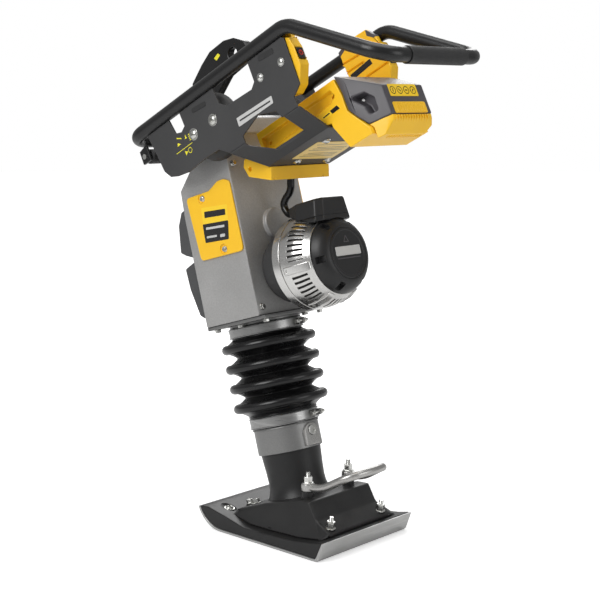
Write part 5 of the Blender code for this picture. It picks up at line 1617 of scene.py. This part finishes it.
@dataclass
class BatteryDock:
    """The yellow dock and its latch, the two uprights with the power button, and the controller box."""

    body: str = "handle"

    def build(self) -> None:
        """Builds the yellow parts inside the handle."""
        self.make_dock()
        self.make_latch()
        for side in (1, -1):
            self.make_upright(side)
        self.make_button()
        self.make_controller()

    def make_dock(self) -> None:
        """The dock: long recesses in its sides, screw holes, side strips and seams."""
        dock = Piece.of_node("dock_body", "battery_dock", HANDLE)
        tools = []
        for side in (1, -1):
            groove = rounded([(-0.08, -0.066), (-0.285, -0.0635), (-0.2925, -0.074), (-0.274, -0.082),
                (-0.098, -0.0905), (-0.08, -0.086)], 0.003)
            low, high = sorted((side * 0.0765, side * 0.1))
            tool = Piece.plate("groove_tool", groove, low, high)
            tool.pick_faces(lambda c, n, s=side: n.y * s > 0.9)
            tool.scale_picked((1.03, 1.0, 1.9), (-0.19, 0.0, -0.07))
            tools.append(tool)
            for x, z in ((-0.2795, -0.0742), (-0.09, -0.08)):
                hole = Piece.turned("hole_tool", [(0.0, 0.07), (0.0034, 0.07), (0.0034, 0.085),
                    (0.0, 0.085)], 28, closed=False, axis="Y")
                tools.append(hole.place(Matrix.Translation((x, 0, z)) @ Matrix.Diagonal((1, side, 1,
                    1))).face_outwards())
            low, high = sorted((side * 0.0848, side * 0.1))
            seam = Piece.plate("seam_tool", [(-0.1, -0.1), (-0.235, -0.1085), (-0.235, -0.11),
                (-0.1, -0.1015)], low, high)
            tools.append(seam)
        dock.cut(*tools).round_edges(0.0016, 3, 30)
        dock.place(HANDLE).smooth(32).dress(YELLOW, self.body, "yellow_plastic", ["battery_dock"])
        for side, name in ((1, "left"), (-1, "right")):
            y = side * 0.086
            strip = Piece.plate(f"dock_strip_{name}", rounded([(-0.244, -0.0985), (-0.29, -0.0938),
                (-0.2958, -0.1035), (-0.248, -0.105)], 0.001), y, y + side * 0.0003)
            strip.place(HANDLE).dress(LABEL_YELLOW, self.body, "yellow_plastic")
            block = Piece.plate(f"dock_strip_block_{name}", rounded([(-0.269, -0.0962), (-0.2893, -0.0944),
                (-0.2945, -0.103), (-0.2725, -0.104)], 0.0008), y, y + side * 0.0005)
            block.place(HANDLE).dress(LABEL_BLACK, self.body, "black_plastic")
            bar = Piece.plate(f"dock_strip_bar_{name}", [(-0.248, -0.1002), (-0.266, -0.0984),
                (-0.2672, -0.1008), (-0.2492, -0.1024)], y, y + side * 0.0005)
            bar.place(HANDLE).dress(LABEL_BLACK, self.body, "black_plastic")

    def make_latch(self) -> None:
        """The sliding latch button with thumb ribs."""
        latch = Piece.block("latch_button", (-0.292, -0.262), (-0.022, 0.022), (-0.045, -0.0375))
        latch.round_edges(0.0014, 3)
        ribs = [Piece.block("rib", (x, x + 0.0018), (-0.017, 0.017), (-0.038, -0.0364)).round_edges(0.0004,
            2) for x in (-0.288, -0.284, -0.28, -0.276, -0.272)]
        latch.join(*ribs).place(HANDLE).smooth().dress(BLACK_PLASTIC, "latch", "black_plastic",
            ["dock_latch"])

    def make_upright(self, side: int) -> None:
        """One yellow upright with sloping grooves, grey corner caps and, on its inner face, a blank strip.

        Args:
            side: 1 for the left upright, -1 for the right one.
        """
        name = "left" if side == 1 else "right"
        upright = Piece.of_node(f"yellow_upright_{name}", f"upright_{name}", HANDLE)
        inner = 0.1225 * side
        tools = []
        for x0, z0, x1, z1 in ((-0.17, 0.056, -0.3, 0.049), (-0.17, 0.002, -0.3, 0.004), (-0.17, 0.035,
                -0.23, 0.034)):
            low, high = sorted((inner - side * 0.001, inner + side * 0.0016))
            tools.append(Piece.plate("groove_tool", [(x0, z0), (x1, z1), (x1, z1 - 0.0022),
                (x0, z0 - 0.0022)], low, high))
        if side == 1:
            tools.append(Piece.block("pocket_tool", (-0.3, -0.2822), (0.1264, 0.1436), (0.0034, 0.0266)))
        upright.cut(*tools).round_edges(0.0024, 3, 28)
        upright.place(HANDLE).smooth(32).dress(YELLOW, self.body, "yellow_plastic", [f"upright_{name}"])
        caps = (("front", [(-0.1765, 0.07), (-0.1765, 0.081), (-0.2, 0.0888), (-0.201, 0.08)]),
            ("rear", [(-0.261, 0.091), (-0.26, 0.076), (-0.275, 0.064), (-0.2828, 0.0645)]))
        for end, corners in caps:
            low, high = sorted((inner - side * 0.0004, 0.1344 * side))
            cap = Piece.plate(f"upright_cap_{name}_{end}", rounded(corners, 0.002), low, high)
            cap.round_edges(0.001, 2).place(HANDLE).smooth().dress(GREY_PLASTIC, self.body, "grey_plastic")
        strip = Piece.plate(f"upright_strip_{name}", rounded([(-0.186, 0.025), (-0.2475, 0.031),
            (-0.25, 0.019), (-0.188, 0.0125)], 0.0015), inner, inner - side * 0.0003)
        strip.pick_faces(lambda c, n: n.y * side < -0.9).inset(0.0012)
        strip.place(HANDLE).dress(LABEL_BLACK, self.body, "black_plastic")
        if side == -1:
            panel = [(-y, z) for y, z in rounded([(0.1262, -0.001), (0.1442, -0.001), (0.1442, 0.029),
                (0.1262, 0.029)], 0.002)]
            plate = Piece.plate("upright_panel_right", panel, -0.2907, -0.2898, Plane.REAR)
            plate.round_edges(0.0003, 2).place(HANDLE).smooth()
            plate.dress(LABEL_BLACK, self.body, "black_plastic")
        slot = Piece.plate(f"upright_slot_{name}", rounded([(side * 0.128, 0.0385), (side * 0.142, 0.0385),
            (side * 0.142, 0.042), (side * 0.128, 0.042)], 0.0015), 0.0, 0.0016, Plane.REAR)
        slot.place(HANDLE @ Matrix.Translation((-0.288, 0.0, 0.0)) @ Matrix.Rotation(radians(12), 4, "Y")
            @ Matrix.Translation((-0.0035, 0.0, 0.0)))
        slot.dress(LABEL_BLACK, self.body, "black_plastic")

    def make_button(self) -> None:
        """The power button: a black rocker with a red ring on its face."""
        button = Piece.block("power_rocker", (-0.2915, -0.2872), (0.1272, 0.1428), (0.0042, 0.0258))
        button.pick_faces(lambda c, n: n.x < -0.9).inset(0.0014, -0.0005)
        button.round_edges(0.0005, 2).place(HANDLE).smooth()
        button.dress(BLACK_PLASTIC, "power_button", "black_plastic", ["power_button"])
        ring = Piece.turned("power_ring", [(0.0036, 0.0), (0.0052, 0.0), (0.0052, 0.0007), (0.0036, 0.0007)],
            40)
        bar = Piece.block("bar", (-0.0008, 0.0008), (-0.0008, 0.0062), (0.0, 0.0007)).round_edges(0.0002, 2)
        ring.join(bar).place(HANDLE @ standing((-0.2909, 0.135, 0.0155), (-1, 0, 0)))
        ring.smooth().dress(SIGNAL_RED, "power_button", "black_plastic")

    def make_controller(self) -> None:
        """The controller box: chamfered ends, snap notches and a screw hole in each end."""
        box = Piece.of_node("controller_cover", "controller_box", HANDLE)
        lie = Matrix.Translation((-0.069, 0.0, -0.1515)) @ Matrix.Rotation(radians(-26.5), 4, "Y")
        tools = [Piece.block("notch_tool", (-0.01, 0.004), (y - 0.0011, y + 0.0011),
            (-0.01, 0.0045)).place(lie) for y in (-0.068, 0.004, 0.076)]
        for side in (1, -1):
            hole = Piece.turned("hole_tool", [(0.0, 0.08), (0.0036, 0.08), (0.0052, 0.0885), (0.0, 0.0885)],
                28, closed=False, axis="Y")
            tools.append(hole.place(Matrix.Translation((-0.0235, 0, -0.106)) @ Matrix.Diagonal((1, side, 1,
                1))).face_outwards())
        box.cut(*tools).round_edges(0.0018, 3, 30)
        box.place(HANDLE).smooth(32).dress(YELLOW, self.body, "yellow_plastic", ["controller_box"])


@dataclass
class BatteryPack:
    """The battery: its grey case with a hand hold on each side, the yellow base and its vents."""

    body: str = "battery"
    rear: float = -0.3866

    def build(self) -> None:
        """Builds the case, the base and the fittings on its rear face."""
        self.make_case()
        self.make_base()
        self.make_rear_fittings()

    def taper_tools(self) -> list[Piece]:
        """The two wedges that draw the pack in towards its rear."""
        wedge = [(-0.325, 0.085), (-0.395, 0.0568), (-0.395, 0.1), (-0.325, 0.1)]
        return [Piece.plate("taper_tool", [(x, side * y) for x, y in wedge], -0.22, 0.0, Plane.TOP)
            for side in (1, -1)]

    def make_case(self) -> None:
        """The case with deep hand holds and broad chamfers."""
        outline = [(-0.3035, -0.0405), (-0.3095, -0.08), (-0.3095, -0.1145), (-0.34, -0.159),
            (-0.386, -0.159), (-0.387, -0.0995)]
        case = Piece.plate("pack_case", outline, -0.085, 0.085).cut(*self.taper_tools())
        hold = rounded([(-0.319, -0.094), (-0.344, -0.125), (-0.348, -0.145), (-0.368, -0.145),
            (-0.369, -0.113), (-0.352, -0.094)], 0.005)
        for side in (1, -1):
            low, high = sorted((side * 0.058, side * 0.1))
            tool = Piece.plate("hold_tool", hold, low, high)
            tool.pick_faces(lambda c, n, s=side: n.y * s < -0.9).scale_picked((0.75, 1.0, 0.75),
                (-0.346, 0.0, -0.121))
            case.cut(tool)
        case.fuse(Piece.block("pack_tongue", (-0.312, -0.245), (-0.066, 0.066), (-0.106, -0.061)))
        case.round_edges(0.003, 3, 24)
        case.place(HANDLE).smooth(32).dress(GREY_PLASTIC, self.body, "grey_plastic", ["battery_case"])

    def make_base(self) -> None:
        """The yellow base, sloped up to the rear, with moulded ribs underneath."""
        base = Piece.of_node("pack_base", "battery_base", HANDLE)
        slope = [(-0.356, -0.195), (-0.4, -0.195), (-0.4, -0.156), (-0.3868, -0.1655)]
        corner = [(0.045, -0.195), (0.1, -0.195), (0.1, -0.15), (0.083, -0.164)]
        base.cut(*self.taper_tools(), Piece.plate("slope_tool", slope, -0.1, 0.1), Piece.plate("corner_tool",
            [(-y, z) for y, z in corner][::-1], -0.345, -0.4, Plane.REAR))
        base.round_edges(0.0016, 3, 28)
        rib = rounded([(-0.347, -0.17), (-0.347, -0.1912), (-0.3565, -0.1912), (-0.3872, -0.1668),
            (-0.3872, -0.161), (-0.37, -0.161)], 0.0012)
        ribs = [Piece.plate("rib", rib, y - 0.0016, y + 0.0016).round_edges(0.0006, 2) for y in [-0.044
            + 0.008 * k for k in range(13)]]
        base.join(*ribs)
        base.place(HANDLE).smooth(32).dress(YELLOW, self.body, "yellow_plastic", ["battery_base"])

    def make_rear_fittings(self) -> None:
        """The label with four rings, and the ribbed yellow vent panel below it."""
        x = self.rear
        film = Piece.plate("pack_label", rounded([(0.047, -0.0985), (-0.038, -0.0985), (-0.038, -0.1235),
            (0.047, -0.1235)], 0.0025), x - 0.0006, x, Plane.REAR)
        film.place(HANDLE).dress(LABEL_YELLOW, self.body, "yellow_plastic")
        rings = []
        for k in range(4):
            ring = Piece.turned("ring", [(0.0068, 0.0), (0.008, 0.0), (0.008, 0.0009), (0.0068, 0.0009)], 36)
            rings.append(ring.place(standing((x, 0.035 - 0.02 * k, -0.111), (-1, 0, 0))))
            mark = Piece.block("mark", (-0.0009, 0.0009), (-0.0035, 0.0035), (0.0, 0.0009))
            rings.append(mark.place(standing((x, 0.035 - 0.02 * k, -0.111), (-1, 0, 0), 45.0 * k)))
        rings[0].join(*rings[1:]).place(HANDLE)
        rings[0].obj.name = "pack_label_rings"
        rings[0].dress(LABEL_BLACK, self.body, "black_plastic")
        panel = Piece.plate("pack_vent", rounded([(0.05, -0.135), (-0.048, -0.135), (-0.048, -0.158),
            (0.05, -0.158)], 0.004), x - 0.0006, x + 0.0006, Plane.REAR)
        ribs = [Piece.block("rib", (x - 0.0012, x), (y - 0.002, y + 0.002),
            (-0.157, -0.1365)).round_edges(0.0007, 2) for y in [-0.042 + 0.0075 * k for k in range(12)]]
        panel.join(*ribs).place(HANDLE).smooth().dress(YELLOW, self.body, "yellow_plastic")


@dataclass
class FrontRoller:
    """The roller under the front corner, its axle and its two brackets."""

    centre: Point3 = (0.216, 0.0, 0.0335)
    radius: float = 0.0158
    reach: float = 0.1178

    def build(self) -> None:
        """Builds the roller with grooves and rolled ends, and dresses what carries it."""
        r, end = self.radius, self.reach
        profile: list[Point2] = [(0.0065, -end), (r - 0.0025, -end), (r, -end + 0.0025)]
        for k in range(9):
            y = -0.096 + 0.024 * k
            profile += [(r, y - 0.0022), (r - 0.0011, y - 0.0008), (r - 0.0011, y + 0.0008), (r, y + 0.0022)]
        profile += [(r, end - 0.0025), (r - 0.0025, end), (0.0065, end)]
        roller = Piece.turned("carry_roller", profile, 64, axis="Y")
        roller.place(HANDLE @ Matrix.Translation(self.centre)).smooth(30)
        roller.dress(GRIP_RUBBER, "roller", "rubber", ["front_roller"])
        for name in ("left", "right"):
            bracket = Piece.of_node(f"carry_bracket_{name}", f"roller_bracket_{name}", HANDLE)
            bracket.round_edges(0.0012, 3, 30).place(HANDLE).smooth(32)
            bracket.dress(TUBE_BLACK, "handle", "tube_black", [f"roller_bracket_{name}"])


@dataclass
class InnerWorks:
    """The parts inside the housing, the leg, the motor and the battery, which keep their CAD shapes."""

    finishes: dict[str, Finish] = field(default_factory=lambda: {"ram": ZINC, "crank_gear": ROLLED_STEEL,
        "crank_pin": ZINC, "con_rod": ROLLED_STEEL, "wrist_pin": ZINC, "rotor": CLAMP_STEEL, "pinion": ZINC,
        "fan": GREY_PLASTIC, "stator": COPPER, "bearing_front": ZINC, "bearing_rear": ZINC,
        "end_shield": CAST_ALUMINIUM, "guide_tube": CAST_ALUMINIUM, "cylinder_cap": CAST_ALUMINIUM,
        "cell_block": CLAMP_STEEL, "crank_axle": ZINC, "roller_axle": ZINC})

    def build(self) -> None:
        """Fits the two springs, and gives every CAD node that still shows its finish."""
        for name, seat in (("lower_spring", min), ("upper_spring", max)):
            spring = Piece.of_node(f"{name}_coil", name, LEG)
            foot_end = LEG @ Vector((0.0, 0.0, seat(vert.co.z for vert in spring.obj.data.vertices)))
            spring.place(LEG).smooth(60).dress(ROLLED_STEEL, "foot", "bright_steel", [name])
            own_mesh(spring.obj)
        for name, node in frame["nodes"].items():
            if node.hide_render:
                continue
            if name not in self.finishes:
                LOG.warning("no finish for %s", name)
                continue
            for slot in node.material_slots:
                slot.material = self.finishes[name].material()
            LOG.info("dressed %s", name)


class Lamp(Enum):
    """The studio's soft lights: where each stands, what it faces, its width and its power."""

    KEY = ((0.2, 2.7, 2.4), (0.0, 0.0, 0.6), 1.8, 62.0)
    FILL = ((-2.9, -0.6, 1.3), (0.0, 0.0, 0.55), 1.6, 16.0)
    TOP = ((-0.2, -0.2, 3.2), (0.0, 0.0, 0.4), 2.0, 34.0)
    BACK = ((1.6, -2.2, 1.9), (0.0, 0.0, 0.6), 1.6, 26.0)


@dataclass
class Studio:
    """The plain floor, the soft light and the camera."""

    eye: Point3 = (-1.823, 1.991, 0.906)
    right: Point3 = (-0.7337, -0.6794, 0.0)
    up: Point3 = (0.1028, -0.111, 0.9885)
    ahead: Point3 = (0.6716, -0.7253, -0.1513)
    lens: float = 79.08

    def build(self) -> None:
        """Sets up the studio."""
        self.lay_floor()
        self.hang_lights()
        self.set_camera()

    def lay_floor(self) -> None:
        """A wide pale floor with faint mottling and painted light: a glow seen only by the camera, faint
        near the machine and bright farther out.
        """
        clear_bench()
        bpy.ops.mesh.primitive_circle_add(vertices=96, radius=14.0, fill_type="NGON")
        floor = bpy.context.object
        floor.name = "studio_floor"
        paper = Finish("studio paper", (0.86, 0.86, 0.86), (0.88, 0.88, 0.88), (0.75, 0.85), grain=60.0,
            depth=0.00002, dust=0.0)
        material = paper.material()
        sheet = ShaderSheet(material.node_tree)
        shader = material.node_tree.nodes["Principled BSDF"]
        shader.inputs["Emission Color"].default_value = (1.0, 1.0, 1.0, 1.0)
        place = sheet.add("TexCoord").outputs["Object"]
        away = sheet.add("VectorMath", {"Vector": place}, operation="LENGTH").outputs["Value"]
        # painted light: the floor glows for the camera, more the farther it is from the machine
        painted_floor_glow = sheet.spread(away, 0.3, 2.2, 0.42, 0.92)
        seen = sheet.math("MULTIPLY", sheet.add("LightPath").outputs["Is Camera Ray"], painted_floor_glow)
        sheet.tree.links.new(seen, shader.inputs["Emission Strength"])
        floor.data.materials.append(material)

    def hang_lights(self) -> None:
        """The soft lights, and a white room that shows brighter to the camera than it lights."""
        for lamp in Lamp:
            place, facing, size, power = lamp.value
            clear_bench()
            bpy.ops.object.light_add(type="AREA", location=place)
            light = bpy.context.object
            light.name = f"lamp_{lamp.name.lower()}"
            light.rotation_euler = (Vector(facing) - Vector(place)).to_track_quat("-Z", "Y").to_euler()
            light.data.size, light.data.energy = size, power
        world = bpy.data.worlds.new("white room")
        bpy.context.scene.world = world
        world.use_nodes = True
        sheet = ShaderSheet(world.node_tree)
        background = world.node_tree.nodes["Background"]
        background.inputs["Color"].default_value = (1.0, 1.0, 1.0, 1.0)
        seen = sheet.add("LightPath").outputs["Is Camera Ray"]
        strength = sheet.spread(seen, 0.0, 1.0, 0.36, 1.0)
        sheet.tree.links.new(strength, background.inputs["Strength"])
        bpy.context.scene.view_settings.view_transform = "Standard"

    def set_camera(self) -> None:
        """The camera, looking down a little at the machine's left rear."""
        clear_bench()
        bpy.ops.object.camera_add(location=self.eye)
        camera = bpy.context.object
        camera.name = "studio_camera"
        r, u, a = self.right, self.up, self.ahead
        turn = Matrix(((r[0], u[0], -a[0]), (r[1], u[1], -a[1]), (r[2], u[2], -a[2])))
        camera.rotation_euler = turn.to_euler()
        camera.data.lens, camera.data.sensor_width = self.lens, 36.0
        camera.data.clip_start, camera.data.clip_end = 0.05, 60.0
        bpy.context.scene.camera = camera


def main() -> None:
    """Builds the studio and the machine, piece by piece."""
    logging.basicConfig(level=logging.INFO, format="%(name)s: %(message)s")
    for assembly in (Studio(), TampingFoot(), SpringLeg(), CrankHousing(), DriveMotor(), CarryHandle(),
            BatteryDock(), BatteryPack(), FrontRoller(), InnerWorks()):
        LOG.info("building %s", type(assembly).__name__)
        assembly.build()
    clear_bench()


if __name__ == "__main__":
    main()
